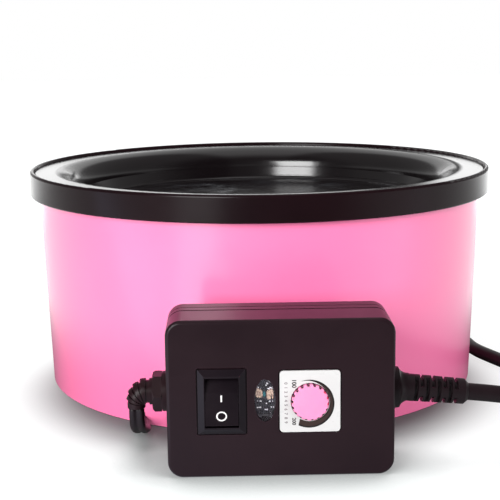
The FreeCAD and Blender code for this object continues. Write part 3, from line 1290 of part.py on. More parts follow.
def boot_slots():
    """Half-ring slots cut alternately from the sides and from above and below."""
    start = BOOT_SLOT_START - BOOT_FLARE_LENGTH - 1.4
    slots = []
    for index in range(BOOT_SLOTS):
        where = BOOT_PIVOT + BOOT_HEADING * (start + index * BOOT_SLOT_PITCH)
        outer = Part.makeCylinder(BOOT_NECK_RADIUS + 1, BOOT_SLOT_WIDTH, where, BOOT_HEADING)
        inner = Part.makeCylinder(BOOT_NECK_RADIUS - BOOT_SLOT_DEPTH, BOOT_SLOT_WIDTH,
                                  where, BOOT_HEADING)
        bridge = BOOT_BRIDGE / 2
        if index % 2 == 0:
            web = block(where.x - 2, where.x + 3, where.y - bridge, where.y + bridge,
                        where.z - 8, where.z + 8)
        else:
            web = block(where.x - 2, where.x + 3, where.y - 8, where.y + 8,
                        where.z - bridge, where.z + bridge)
        slots.append(outer.cut(inner).cut(web))
    return slots


# Hand-chosen route of the mains cord: out to the right, round on the table and back
# behind the pot to the coil.
FLOOR_Z = CORD_DIAMETER / 2 + 0.05
CORD_ROUTE = [
    CORD_EXIT,
    CORD_EXIT + BOOT_HEADING * 14.0,
    V(93.0, -112.5, 17.6),
    V(108.0, -104.0, 11.4),
    V(118.5, -90.0, 6.0),
    V(123.0, -72.0, 3.2),
    V(122.0, -54.0, FLOOR_Z),
    V(115.0, -38.5, FLOOR_Z),
    V(105.2, -23.5, FLOOR_Z),
    V(98.4, -8.8, FLOOR_Z),
    V(92.4, 5.4, FLOOR_Z),
    V(91.4, 17.5, FLOOR_Z),
    V(88.6, 34.5, FLOOR_Z),
    V(82.4, 53.0, FLOOR_Z),
    V(74.0, 71.5, FLOOR_Z),
    V(66.2, 91.5, FLOOR_Z),
    V(60.4, 113.0, 3.2),
    V(57.4, 134.0, 3.6),
    V(56.4, 150.0, 3.6),
]

COIL_HALF_WIDTH = COIL_TURNS_WIDE * CORD_DIAMETER / 2
COIL_LOW = TIE_THICKNESS
COIL_HEIGHT = CORD_DIAMETER + COIL_LAYER_RISE


def mains_coil():
    """Outer shape of the put-away length of cord."""
    outer = COIL_MEAN_RADIUS + COIL_HALF_WIDTH
    inner = COIL_MEAN_RADIUS - COIL_HALF_WIDTH
    soft = 2.0
    points = [
        V(inner, 0, COIL_LOW + soft), V(inner + soft, 0, COIL_LOW),
        V(outer - soft, 0, COIL_LOW), V(outer, 0, COIL_LOW + soft),
        V(outer, 0, COIL_LOW + COIL_HEIGHT - soft), V(outer - soft, 0, COIL_LOW + COIL_HEIGHT),
        V(inner + soft, 0, COIL_LOW + COIL_HEIGHT), V(inner, 0, COIL_LOW + COIL_HEIGHT - soft),
    ]
    body = spun(points)
    body.translate(COIL_CENTRE)
    return body


def cord_tie():
    """Strap around one side of the coil."""
    gap = 0.05
    outer = COIL_MEAN_RADIUS + COIL_HALF_WIDTH + gap
    inner = COIL_MEAN_RADIUS - COIL_HALF_WIDTH - gap
    top = COIL_LOW + COIL_HEIGHT + gap
    band = ring(outer + TIE_THICKNESS, inner - TIE_THICKNESS, 0, top + TIE_THICKNESS)
    hollow = ring(outer, inner, COIL_LOW - gap, top - COIL_LOW + gap)
    side = block(0, outer + TIE_THICKNESS + 1, -TIE_WIDTH / 2, TIE_WIDTH / 2, 0,
                 top + TIE_THICKNESS)
    strap = band.cut(hollow).common(side)
    strap.rotate(V(0, 0, 0), UP, TIE_ANGLE)
    strap.translate(COIL_CENTRE)
    return strap


# Hand-chosen route from the coil to the plug.
PLUG_ENTRY = V(-18.0, 186.0, PLUG_HEIGHT / 2)
PLUG_HEADING = V(-1.0, -0.12, 0.0).normalize()
TAIL_ROUTE = [
    V(24.0, 185.8, 8.6),
    V(11.0, 188.6, 8.2),
    PLUG_ENTRY - PLUG_HEADING * 13.0,
    PLUG_ENTRY,
]


def placed_plug(shape):
    """Turns a piece built along +X from the origin to the plug's place."""
    shape.rotate(V(0, 0, 0), UP, math.degrees(math.atan2(PLUG_HEADING.y, PLUG_HEADING.x)))
    shape.translate(PLUG_ENTRY)
    return shape


def plug_body():
    """Moulded two-pin plug with its own tapered strain relief."""
    boot = Part.makeCone(CORD_DIAMETER / 2 + 0.4, 4.6, PLUG_BOOT_LENGTH, V(0, 0, 0), ALONG_X)
    start = PLUG_BOOT_LENGTH - 1.0
    head = block(start, start + PLUG_LENGTH, -PLUG_WIDTH / 2, PLUG_WIDTH / 2,
                 -PLUG_HEIGHT / 2, PLUG_HEIGHT / 2)
    sides = [e for e in head.Edges if abs(e.tangentAt(e.FirstParameter).z) > 0.99
             and e.CenterOfMass.x < start + 1]
    head = head.makeFillet(PLUG_ROUND * 2, sides)
    return placed_plug(boot.fuse(head).removeSplitter())


def plug_blades():
    """Two flat contact blades."""
    start = PLUG_BOOT_LENGTH - 1.0 + PLUG_LENGTH
    blades = [block(start, start + BLADE_LENGTH, side - BLADE_THICKNESS / 2,
                    side + BLADE_THICKNESS / 2, -BLADE_WIDTH / 2, BLADE_WIDTH / 2)
              for side in (-BLADE_SPACING / 2, BLADE_SPACING / 2)]
    return placed_plug(group(blades))


def mains_cord():
    """The two stretches of the mains cord that aren't coiled."""
    coil = mains_coil()
    lead = tube_along("mains cord", CORD_ROUTE, CORD_DIAMETER / 2).cut(coil)
    tail = tube_along("plug tail", TAIL_ROUTE, CORD_DIAMETER / 2).cut(coil)
    return group([max(piece.Solids, key=lambda solid: solid.Volume) for piece in (lead, tail)])


# ---------------------------------------------------------------- build
def main():
    os.makedirs("parts", exist_ok=True)
    save("outer_shell", outer_shell())
    save("rim_ring", rim_ring())
    save("glue_pan", glue_pan())
    save("heating_element", heating_element())
    save("heater_clamp_plate", heater_clamp_plate())
    save("tie_rods", tie_rods())
    save("clamp_nuts", around(rod_nut(CLAMP_BOTTOM - NUT_HEIGHT), ROD_COUNT, ROD_PHASE))
    save("shield_nuts", around(rod_nut(SHIELD_TOP), ROD_COUNT, ROD_PHASE))
    save("base_nuts", around(rod_nut(ROD_FOOT), ROD_COUNT, ROD_PHASE))
    save("spacer_sleeves", spacer_sleeves())
    save("heat_shield", heat_shield())
    save("insulation_pad", insulation_pad())
    save("thermal_cutout", thermal_cutout())
    save("cutout_strap", cutout_strap())
    save("thermal_fuse", thermal_fuse())
    save("fuse_clip", fuse_clip())
    save("base_plate", base_plate())
    save("foot_ring", foot_ring())
    save("lead_anchor", lead_anchor())
    save("terminal_block", terminal_block())
    save("terminal_screws", terminal_screws())
    save("heater_wires", heater_wires())
    save("lead_wires", lead_wires())
    save("control_box_front", control_box_front())
    save("control_box_back", control_box_back())
    save("case_screws", case_screws())
    save("switch_body", switch_body())
    save("switch_rocker", switch_rocker())
    save("switch_tabs", switch_tabs())
    save("indicator_lens", indicator_lens())
    save("indicator_lamps", indicator_lamps())
    save("dial_plate", dial_plate())
    save("dial_knob", dial_knob())
    save("dial_shaft", dial_shaft())
    save("potentiometer", potentiometer())
    save("circuit_board", circuit_board())
    save("triac", triac())
    save("heat_sink", heat_sink())
    save("board_components", board_components())
    save("box_wires", box_wires())
    save("gland_body", gland_body())
    save("gland_nut", gland_nut())
    save("gland_locknut", gland_locknut())
    save("gland_elbow", gland_elbow())
    save("pot_lead", pot_lead())
    save("mains_boot", mains_boot())
    save("mains_cord", mains_cord())
    save("mains_coil", mains_coil())
    save("cord_tie", cord_tie())
    save("plug_body", plug_body())
    save("plug_blades", plug_blades())


main()
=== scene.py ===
# %% [markdown]
# A hot glue pot for floral work: a shallow non-stick pan in a round pink pot, and a
# small control box that stands in front of it.
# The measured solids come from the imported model, and this notebook dresses them:
# camera, cords, finishes, printed marks, light and floor, one step at a time.

# %% Load the measured solids
import math

import bpy
import numpy as np
from mathutils import Matrix, Vector


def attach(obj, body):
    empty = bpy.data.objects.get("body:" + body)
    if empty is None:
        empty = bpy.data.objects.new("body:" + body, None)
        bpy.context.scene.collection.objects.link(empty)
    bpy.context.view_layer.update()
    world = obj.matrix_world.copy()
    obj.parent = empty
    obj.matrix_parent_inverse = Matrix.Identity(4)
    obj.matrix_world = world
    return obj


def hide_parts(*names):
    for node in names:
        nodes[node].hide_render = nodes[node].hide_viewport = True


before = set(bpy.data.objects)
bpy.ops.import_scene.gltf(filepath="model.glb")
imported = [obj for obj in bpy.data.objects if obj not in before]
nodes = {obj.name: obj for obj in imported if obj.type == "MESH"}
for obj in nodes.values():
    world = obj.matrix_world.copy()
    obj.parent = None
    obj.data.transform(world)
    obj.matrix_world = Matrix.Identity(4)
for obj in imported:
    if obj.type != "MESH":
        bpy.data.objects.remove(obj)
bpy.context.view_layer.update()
MM = 0.001

# %% [markdown]
# The camera stands low in front of the pot and looks a little down on it, so the pan
# shows as a thin ellipse. A long lens keeps the rim's curve calm. The matrix holds the
# camera's right, up and backward directions as its columns.

# %% Camera
CAMERA_PLACE = (-0.012862, -0.469271, 0.138943)
CAMERA_RIGHT = (0.99970694, -0.02104195, -0.01196947)
CAMERA_UP = (0.01570875, 0.18766507, 0.98210746)
CAMERA_FORWARD = (0.01841921, 0.98200767, -0.18794061)
FOCAL_PIXELS = 1140.885
FRAME_PIXELS = 500
SENSOR = 36.0

camera_data = bpy.data.cameras.new("camera")
camera_data.sensor_width = SENSOR
camera_data.lens = SENSOR * FOCAL_PIXELS / FRAME_PIXELS
camera_data.clip_start = 0.01
camera = bpy.data.objects.new("camera", camera_data)
bpy.context.collection.objects.link(camera)
turn = Matrix((CAMERA_RIGHT, CAMERA_UP, [-v for v in CAMERA_FORWARD])).transposed()
camera.matrix_world = Matrix.Translation(CAMERA_PLACE) @ turn.to_4x4()
bpy.context.scene.camera = camera
print("lens in mm:", round(camera_data.lens, 2))

# %% [markdown]
# Every finish is a material built from nodes. Three small helpers keep the cells short:
# one starts a material and gives its tree and its shader, one adds a node with its
# settings, and one joins two sockets. A finish is then laid on the solids by name.

# %% Helpers for materials
def new_material(name):
    """An empty node material; returns it, its tree and its Principled shader."""
    material = bpy.data.materials.new(name)
    material.use_nodes = True
    tree = material.node_tree
    shader = tree.nodes["Principled BSDF"]
    return material, tree, shader


def add_node(tree, kind, inputs=None, **settings):
    """Adds a node of a kind, with its properties and the values of its inputs."""
    node = tree.nodes.new(kind)
    for key, value in settings.items():
        setattr(node, key, value)
    for key, value in (inputs or {}).items():
        node.inputs[key].default_value = value
    return node


def join(tree, source, source_name, target, target_name):
    """Links an output of one node to an input of another."""
    tree.links.new(source.outputs[source_name], target.inputs[target_name])


def lay_on(material, *names):
    """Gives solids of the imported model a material."""
    for name in names:
        mesh = nodes[name].data
        mesh.materials.clear()
        mesh.materials.append(material)
    print(material.name, "on", ", ".join(names))

# %% [markdown]
# The mains cord leaves the strain relief on the right of the box, sinks to the table,
# passes the pot's right side and ends in a tied coil and a plug behind it. It is one
# smooth curve: listed points up to the coil, then a loop that winds the turns in
# two layers, then the short tail. A NURBS curve with a round bevel is enough, because
# the jacket is round and plain.

# %% Route of the mains cord
CORD_WIDTH = 5.6 * MM
BOOT_DROOP = math.radians(5.4)
BOOT_PIVOT = Vector((42.7, -114.9, 25.2))
BOOT_LENGTH = 21.2
STRAIGHT_AT_BOOT = 14.0
STRAIGHT_AT_PLUG = 13.0
boot_heading = Vector((math.cos(BOOT_DROOP), 0.0, -math.sin(BOOT_DROOP)))
cord_exit = BOOT_PIVOT + boot_heading * BOOT_LENGTH
before_coil = [
    cord_exit, cord_exit + boot_heading * STRAIGHT_AT_BOOT,
    (93.0, -112.5, 17.6), (108.0, -104.0, 11.4), (118.5, -90.0, 6.0), (123.0, -72.0, 3.2),
    (122.0, -54.0, 2.85), (115.0, -38.5, 2.85), (105.2, -23.5, 2.85), (98.4, -8.8, 2.85),
    (92.4, 5.4, 2.85), (91.4, 17.5, 2.85), (88.6, 34.5, 2.85), (82.4, 53.0, 2.85),
    (74.0, 71.5, 2.85), (66.2, 91.5, 2.85), (60.4, 113.0, 3.2), (57.4, 134.0, 3.6),
]
COIL_CENTRE = (20.0, 152.0)
COIL_TURNS = [0.0, 0.75, 1.0, 1.75, 2.0, 2.75, 3.0, 4.1, 4.4, 5.12, 5.25]
COIL_RADII = [36.6, 36.6, 31.0, 31.0, 25.4, 25.4, 28.2, 28.2, 33.8, 33.8, 34.6]
COIL_HEIGHTS = [3.6, 3.6, 3.6, 3.6, 3.6, 3.6, 8.5, 8.5, 8.5, 8.5, 8.5]
plug_entry = Vector((-18.0, 186.0, 6.5))
plug_heading = Vector((-1.0, -0.12, 0.0)).normalized()
after_coil = [(11.0, 188.6, 8.2), plug_entry - plug_heading * STRAIGHT_AT_PLUG, plug_entry]


def coil_points(centre, turns_at, radii, heights, points_per_turn=16):
    """Centreline of a wound coil, seen from above turning anticlockwise.

    The angle grows evenly. Radius and height are read off straight lines between
    the values given at chosen counts of turns.
    """
    count = int(points_per_turn * turns_at[-1]) + 1
    turns = np.linspace(turns_at[0], turns_at[-1], count)
    radius = np.interp(turns, turns_at, radii)
    height = np.interp(turns, turns_at, heights)
    angle = 2 * math.pi * turns
    return np.stack([centre[0] + radius * np.cos(angle),
                     centre[1] + radius * np.sin(angle), height], axis=1)


wound = coil_points(COIL_CENTRE, COIL_TURNS, COIL_RADII, COIL_HEIGHTS)
cord_route = [Vector(p) for p in before_coil] + [Vector(p) for p in wound.tolist()]
cord_route += [Vector(p) for p in after_coil]
print("points on the mains cord:", len(cord_route))

# %% [markdown]
# A route is only a list of points, and a curve object makes a line of it. Blender
# rounds the corners between the points, so the points of the line that it really draws
# are read, before the line is given its thickness.

# %% Curves from a route
def smooth_line(name, points, radius=0.001):
    """A NURBS curve of order 3 whose control points are the route's points.

    The thickness is kept in the points' radius, so that with a bevel depth of 1 the
    curve's own bounding box is right as well.
    """
    data = bpy.data.curves.new(name, "CURVE")
    data.dimensions = "3D"
    spline = data.splines.new("NURBS")
    spline.points.add(len(points) - 1)
    spline.points.foreach_set("co", [c for p in points for c in (*(Vector(p) * MM), 1.0)])
    spline.points.foreach_set("radius", [radius] * len(points))
    spline.order_u = 3
    spline.use_endpoint_u = True
    spline.resolution_u = 8
    piece = bpy.data.objects.new(name, data)
    bpy.context.collection.objects.link(piece)
    return piece


def read_line(piece):
    """Points that Blender evaluates along a curve without a bevel."""
    mesh = bpy.data.meshes.new_from_object(piece)
    points = np.empty(len(mesh.vertices) * 3)
    mesh.vertices.foreach_get("co", points)
    bpy.data.meshes.remove(mesh)
    return points.reshape(-1, 3)


mains_cord = smooth_line("mains_cable", cord_route, CORD_WIDTH / 2)
mains_line = read_line(mains_cord)
mains_cord.data.bevel_depth = 1.0
mains_cord.data.bevel_resolution = 6

# %% [markdown]
# The flat lead, the printed marks and the floor are surfaces worked out on a grid: rows
# and columns of points, and one face for each cell between four of them. One function
# turns such a grid into a mesh. It can close the grid round and put caps on its ends.

# %% Surfaces from a grid of points
def surface(name, points, wrap_rows=False, wrap_columns=False, caps=False):
    """A mesh over a grid of points (rows, columns, 3); each cell becomes one face."""
    rows, columns = points.shape[:2]
    r = np.arange(rows if wrap_rows else rows - 1)[:, None]
    c = np.arange(columns if wrap_columns else columns - 1)[None, :]
    r2, c2 = (r + 1) % rows, (c + 1) % columns
    faces = np.stack(np.broadcast_arrays(r * columns + c, r * columns + c2,
                                         r2 * columns + c2, r2 * columns + c), axis=-1)
    faces = faces.reshape(-1, 4).tolist()
    if caps:
        faces.append(list(range(columns))[::-1])
        faces.append([(rows - 1) * columns + k for k in range(columns)])
    mesh = bpy.data.meshes.new(name)
    mesh.from_pydata(points.reshape(-1, 3).tolist(), [], faces)
    mesh.shade_smooth()
    piece = bpy.data.objects.new(name, mesh)
    bpy.context.collection.objects.link(piece)
    return piece

# %% [markdown]
# The lead between the box and the pot is a flat one: two round cores side by side in
# one jacket. Its section is carried along the route. The wide side stays along X, so
# the lead shows its full width and the groove between its cores to someone in front.

# %% Flat twin lead
LEAD_WIDTH = 5.0 * MM
LEAD_THICK = 2.7 * MM
WEB_SHARE = 0.32
WEB_REACH = 0.14
lead_exit = Vector((-43.6, -114.9, 19.9))
lead_route = [
    lead_exit, lead_exit + Vector((0, 0, -5.4)), (-43.4, -111.4, 11.2), (-43.1, -102.6, 7.9),
    (-43.1, -92.0, 4.6), (-44.2, -83.5, 2.6), (-46.0, -77.0, 2.2), (-46.5, -72.2, 2.2),
]


def twin_section(width, thick, columns=40):
    """Outline of two cores side by side with a thin web between them.

    Across the width, the half-thickness is that of an ellipse round the nearer core.
    Near the middle it is never less than a narrow bell, which is the web, so a groove
    stays between the cores.
    """
    angle = np.linspace(0, 2 * math.pi, columns, endpoint=False)
    across = np.cos(angle) * width / 2
    core = width / 4
    inside = np.clip(1 - ((np.abs(across) - core) / core) ** 2, 0, None)
    lobe = np.sqrt(inside) * thick / 2
    web = WEB_SHARE * thick * np.exp(-(across / (WEB_REACH * width)) ** 2)
    return across, np.sign(np.sin(angle)) * np.maximum(lobe, web)


lead_line_piece = smooth_line("lead_line", lead_route)
lead_line = read_line(lead_line_piece)
bpy.data.objects.remove(lead_line_piece)
tangent = np.gradient(lead_line, axis=0)
tangent /= np.linalg.norm(tangent, axis=1)[:, None]
side = np.array([1.0, 0.0, 0.0]) - tangent * tangent[:, :1]
side /= np.linalg.norm(side, axis=1)[:, None]
front = np.cross(tangent, side)
across, thick = twin_section(LEAD_WIDTH, LEAD_THICK)
lead_points = (lead_line[:, None] + side[:, None] * across[None, :, None]
               + front[:, None] * thick[None, :, None])
twin_lead = surface("twin_lead", lead_points, wrap_columns=True, caps=True)

# %% [markdown]
# Both cords are soft. They ride on the pot and take the place of the plain solids that
# stand for them, which are hidden.

# %% Both cords in place of the plain solids
for piece, hidden in ((mains_cord, ("mains_cord", "mains_coil")), (twin_lead, ("pot_lead",))):
    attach(piece, "pot")
    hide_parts(*hidden)
print("cords:", mains_cord.name, twin_lead.name)

# %% [markdown]
# Several finishes share the same small effects, so each effect is a node group that is
# built once: a fine grain for moulded and painted surfaces, a rub along edges, and soft
# blotches. A group gives out only values; the colours and the shader stay in the
# material that uses it, so one group can serve a pink paint and a black plastic alike.

# %% Groups for grain, rubbed edges and blotches
def start_group(name, inputs, outputs):
    """A node group with float inputs {name: value} and outputs; returns it and its ends."""
    group = bpy.data.node_groups.new(name, "ShaderNodeTree")
    for label, value in inputs.items():
        socket = group.interface.new_socket(label, in_out="INPUT", socket_type="NodeSocketFloat")
        socket.default_value = value
    for label in outputs:
        group.interface.new_socket(label, in_out="OUTPUT", socket_type="NodeSocketFloat")
    return group, group.nodes.new("NodeGroupInput"), group.nodes.new("NodeGroupOutput")


def noise_on_object(tree, detail=2.0, roughness=0.5):
    """Noise that reads object coordinates; its scale is set by the caller."""
    place = add_node(tree, "ShaderNodeTexCoord")
    noise = add_node(tree, "ShaderNodeTexNoise", {"Detail": detail, "Roughness": roughness})
    join(tree, place, "Object", noise, "Vector")
    return noise


grain, entry, leave = start_group("fine_grain", {"Scale": 1500.0}, ["Height"])
noise = noise_on_object(grain, detail=3.0, roughness=0.6)
join(grain, entry, "Scale", noise, "Scale")
join(grain, noise, "Fac", leave, "Height")

blotch, entry, leave = start_group("soft_blotches", {"Scale": 40.0, "From": 0.4, "To": 0.6},
                                   ["Mask"])
noise = noise_on_object(blotch, detail=5.0, roughness=0.55)
spread = add_node(blotch, "ShaderNodeMapRange")
join(blotch, entry, "Scale", noise, "Scale")
join(blotch, noise, "Fac", spread, "Value")
join(blotch, entry, "From", spread, "From Min")
join(blotch, entry, "To", spread, "From Max")
join(blotch, spread, "Result", leave, "Mask")

rub, entry, leave = start_group("rubbed_edge", {"Radius": 0.0006, "Break": 90.0}, ["Mask"])
bevel = add_node(rub, "ShaderNodeBevel", samples=4)
shape = add_node(rub, "ShaderNodeNewGeometry")
turned = add_node(rub, "ShaderNodeVectorMath", operation="DOT_PRODUCT")
edge = add_node(rub, "ShaderNodeMapRange", {"From Min": 0.995, "From Max": 0.85})
noise = noise_on_object(rub, detail=4.0, roughness=0.6)
broken = add_node(rub, "ShaderNodeMath", operation="MULTIPLY")
join(rub, entry, "Radius", bevel, "Radius")
join(rub, bevel, "Normal", turned, 0)
join(rub, shape, "Normal", turned, 1)
join(rub, turned, "Value", edge, "Value")
join(rub, entry, "Break", noise, "Scale")
join(rub, edge, "Result", broken, 0)
join(rub, noise, "Fac", broken, 1)
join(rub, broken, 0, leave, "Mask")
print("groups:", grain.name, blotch.name, rub.name)

# %% [markdown]
# Most finishes follow one recipe: a base colour that drifts a little between two tones,
# a roughness that drifts with it, and a fine bump. Doing it by a function keeps every
# finish a real material with its own numbers, and none a single flat colour.

# %% The common recipe of a finish
def linear(red, green, blue):
    """Scene-linear colour of an sRGB colour given from 0 to 255."""
    share = np.array([red, green, blue]) / 255.0
    low = share / 12.92
    high = ((share + 0.055) / 1.055) ** 2.4
    return (*np.where(share <= 0.04045, low, high).tolist(), 1.0)


def use_group(tree, group, inputs=None):
    """Places a node group in a material."""
    node = tree.nodes.new("ShaderNodeGroup")
    node.node_tree = group
    for key, value in (inputs or {}).items():
        node.inputs[key].default_value = value
    return node


def finish(name, tone, second_tone, rough=(0.35, 0.45), grain_scale=1500.0, bump=0.00001,
           blotch_scale=40.0, edge_tone=None, edge_radius=0.0005, **constants):
    """A finish: two tones and two roughnesses mixed by blotches, a fine bump, rubbed edges.

    Further values go to the shader's inputs of the same name.
    """
    material, tree, shader = new_material(name)
    for key, value in constants.items():
        shader.inputs[key.replace("_", " ").title().replace("Ior", "IOR")].default_value = value
    patches = use_group(tree, blotch, {"Scale": blotch_scale})
    tones = add_node(tree, "ShaderNodeMix", data_type="RGBA")
    tones.inputs[6].default_value = tone
    tones.inputs[7].default_value = second_tone
    join(tree, patches, "Mask", tones, 0)
    levels = add_node(tree, "ShaderNodeMapRange", {"To Min": rough[0], "To Max": rough[1]})
    join(tree, patches, "Mask", levels, "Value")
    join(tree, levels, "Result", shader, "Roughness")
    fine = use_group(tree, grain, {"Scale": grain_scale})
    relief = add_node(tree, "ShaderNodeBump", {"Strength": 1.0, "Distance": bump})
    join(tree, fine, "Height", relief, "Height")
    join(tree, relief, "Normal", shader, "Normal")
    last = tones
    if edge_tone is not None:
        worn = use_group(tree, rub, {"Radius": edge_radius})
        edges = add_node(tree, "ShaderNodeMix", data_type="RGBA")
        edges.inputs[7].default_value = edge_tone
        tree.links.new(tones.outputs[2], edges.inputs[6])
        join(tree, worn, "Mask", edges, 0)
        last = edges
    tree.links.new(last.outputs[2], shader.inputs["Base Color"])
    return material

# %% [markdown]
# The shell is sheet steel under a thick glossy pink paint, and the ring above it is
# black enamel. Paint looks deep because light reflects twice: on the colour and on a
# clear skin over it. The Coat inputs do that, and a faint bump gives the skin of a
# sprayed coat.

# %% Paint and enamel
pink_paint = finish("pink_paint", linear(252, 117, 169), linear(253, 121, 173),
                    rough=(0.40, 0.46), grain_scale=500.0, bump=0.000006, blotch_scale=18.0,
                    coat_weight=1.0, coat_roughness=0.2)
rim_enamel = finish("rim_enamel", linear(20, 7, 11), linear(23, 9, 13),
                    rough=(0.20, 0.25), grain_scale=900.0, bump=0.000002, blotch_scale=30.0,
                    edge_tone=linear(40, 29, 33), specular_ior_level=0.12)
lay_on(pink_paint, "outer_shell")
lay_on(rim_enamel, "rim_ring")

# %% [markdown]
# The pan carries a dark non-stick coating. Use and washing leave pale cloudy films on
# its floor, so this finish mixes blotches of two sizes, and the film is also rougher
# than the coating under it.

# %% Coating of the pan
PAN_FLOOR_Z = 70.3 * MM
FLOOR_MARGIN = 0.2 * MM
PAN_ROUGHNESS = (0.16, 0.34)
pan_coating, tree, shader = new_material("pan_coating")
place = add_node(tree, "ShaderNodeTexCoord")
height = add_node(tree, "ShaderNodeSeparateXYZ")
on_floor = add_node(tree, "ShaderNodeMath", {1: PAN_FLOOR_Z + FLOOR_MARGIN},
                    operation="LESS_THAN")
join(tree, place, "Object", height, "Vector")
join(tree, height, "Z", on_floor, 0)
wide = use_group(tree, blotch, {"Scale": 28.0, "From": 0.44, "To": 0.66})
small = use_group(tree, blotch, {"Scale": 130.0, "From": 0.35, "To": 0.7})
film = add_node(tree, "ShaderNodeMath", operation="MULTIPLY")
floor_film = add_node(tree, "ShaderNodeMath", operation="MULTIPLY")
join(tree, wide, "Mask", film, 0)
join(tree, small, "Mask", film, 1)
join(tree, film, "Value", floor_film, 0)
join(tree, on_floor, "Value", floor_film, 1)
tones = add_node(tree, "ShaderNodeMix", data_type="RGBA")
tones.inputs[6].default_value = linear(13, 8, 10)
tones.inputs[7].default_value = linear(56, 58, 62)
join(tree, floor_film, "Value", tones, 0)
tree.links.new(tones.outputs[2], shader.inputs["Base Color"])
levels = add_node(tree, "ShaderNodeMapRange",
                  {"To Min": PAN_ROUGHNESS[0], "To Max": PAN_ROUGHNESS[1]})
join(tree, floor_film, "Value", levels, "Value")
join(tree, levels, "Result", shader, "Roughness")
fine = use_group(tree, grain, {"Scale": 1400.0})
relief = add_node(tree, "ShaderNodeBump", {"Strength": 1.0, "Distance": 0.000002})
join(tree, fine, "Height", relief, "Height")
join(tree, relief, "Normal", shader, "Normal")
shader.inputs["Specular IOR Level"].default_value = 0.62
lay_on(pan_coating, "glue_pan")

# %% [markdown]
# The control box, the switch, the gland and the strain relief are black plastics. They
# differ in how fine the mould's texture is and in how glossy they came out, so each has
# its own grain and roughness.

# %% Black plastics and rubber
case_plastic = finish("case_plastic", linear(28, 16, 21), linear(32, 19, 24),
                      rough=(0.28, 0.33), grain_scale=2600.0, bump=0.000008,
                      blotch_scale=24.0, edge_tone=linear(54, 36, 42),
                      specular_ior_level=0.14)
switch_plastic = finish("switch_plastic", linear(19, 13, 18), linear(23, 16, 21),
                        rough=(0.20, 0.26), grain_scale=3200.0, bump=0.000003,
                        edge_tone=linear(50, 40, 47), edge_radius=0.0003,
                        specular_ior_level=0.15)
gland_plastic = finish("gland_plastic", linear(28, 12, 16), linear(32, 15, 19),
                       rough=(0.34, 0.44), grain_scale=2200.0, bump=0.000006,
                       edge_tone=linear(52, 38, 42), edge_radius=0.0003,
                       specular_ior_level=0.13)
cord_jacket = finish("cord_jacket", linear(20, 10, 14), linear(24, 13, 17),
                     rough=(0.40, 0.50), grain_scale=1600.0, bump=0.000006,
                     specular_ior_level=0.2)
rubber_black = finish("rubber_black", linear(24, 23, 23), linear(34, 32, 32),
                      rough=(0.62, 0.78), grain_scale=1800.0, bump=0.00003)
lay_on(case_plastic, "control_box_front", "control_box_back")
lay_on(switch_plastic, "switch_body", "switch_rocker")
lay_on(gland_plastic, "gland_body", "gland_nut", "gland_locknut", "gland_elbow")
lay_on(cord_jacket, "mains_cord", "mains_coil", "pot_lead", "mains_boot", "plug_body",
       "cord_tie")
lay_on(rubber_black, "foot_ring", "lead_anchor")
for piece in (mains_cord, twin_lead):
    piece.data.materials.append(cord_jacket)

# %% [markdown]
# The knob is a soft pink plastic that lets a little light in, and the scale plate
# behind it is glossy white. The lens in the middle is clear plastic, and what it shows
# is behind it, so its finish is glass with a plain transmission.

# %% Knob, scale plate and lens
knob_pink = finish("knob_pink", linear(244, 146, 188), linear(240, 138, 182),
                   rough=(0.30, 0.38), grain_scale=1800.0, bump=0.00001,
                   subsurface_weight=0.15, subsurface_scale=0.001)
scale_white = finish("scale_white", linear(204, 202, 202), linear(198, 196, 196),
                     rough=(0.24, 0.32), grain_scale=1500.0, bump=0.000005)
lens_plastic = finish("lens_plastic", linear(214, 214, 220), linear(200, 200, 208),
                      rough=(0.04, 0.12), grain_scale=700.0, bump=0.00003,
                      transmission_weight=1.0, ior=1.2)
lay_on(knob_pink, "dial_knob")
lay_on(scale_white, "dial_plate")
lay_on(lens_plastic, "indicator_lens")

# %% [markdown]
# Under the pan and in the box there are metals, a ceramic block, wool, wires and a
# circuit board. Nobody sees them from outside, but the part can be opened in another
# view, so each has the finish of the real thing.

# %% Metals
zinc_steel = finish("zinc_steel", linear(178, 178, 176), linear(150, 152, 152),
                    rough=(0.28, 0.44), grain_scale=1200.0, bump=0.00001, blotch_scale=90.0,
                    metallic=1.0)
bright_shield = finish("bright_shield", linear(214, 214, 216), linear(196, 196, 200),
                       rough=(0.14, 0.26), grain_scale=700.0, bump=0.00001, metallic=1.0)
element_sheath = finish("element_sheath", linear(112, 98, 88), linear(74, 66, 62),
                        rough=(0.42, 0.6), grain_scale=1300.0, bump=0.00002,
                        blotch_scale=120.0, metallic=1.0)
brass_contact = finish("brass_contact", linear(206, 172, 104), linear(182, 148, 88),
                       rough=(0.26, 0.4), grain_scale=1500.0, bump=0.00001, metallic=1.0)
lay_on(zinc_steel, "tie_rods", "clamp_nuts", "shield_nuts", "base_nuts", "spacer_sleeves",
       "heater_clamp_plate", "base_plate", "cutout_strap", "fuse_clip", "case_screws",
       "dial_shaft", "thermal_cutout")
lay_on(bright_shield, "heat_shield", "heat_sink")
lay_on(element_sheath, "heating_element")
lay_on(brass_contact, "terminal_screws", "switch_tabs", "plug_blades")

# %% [markdown]
# The rest of the insides doesn't conduct. Wool and ceramic are pale and scatter light,
# so their roughness is high. The jackets, the board and its parts are plastics, and the
# small lamps are glass that lets light through, which the Transmission input does.

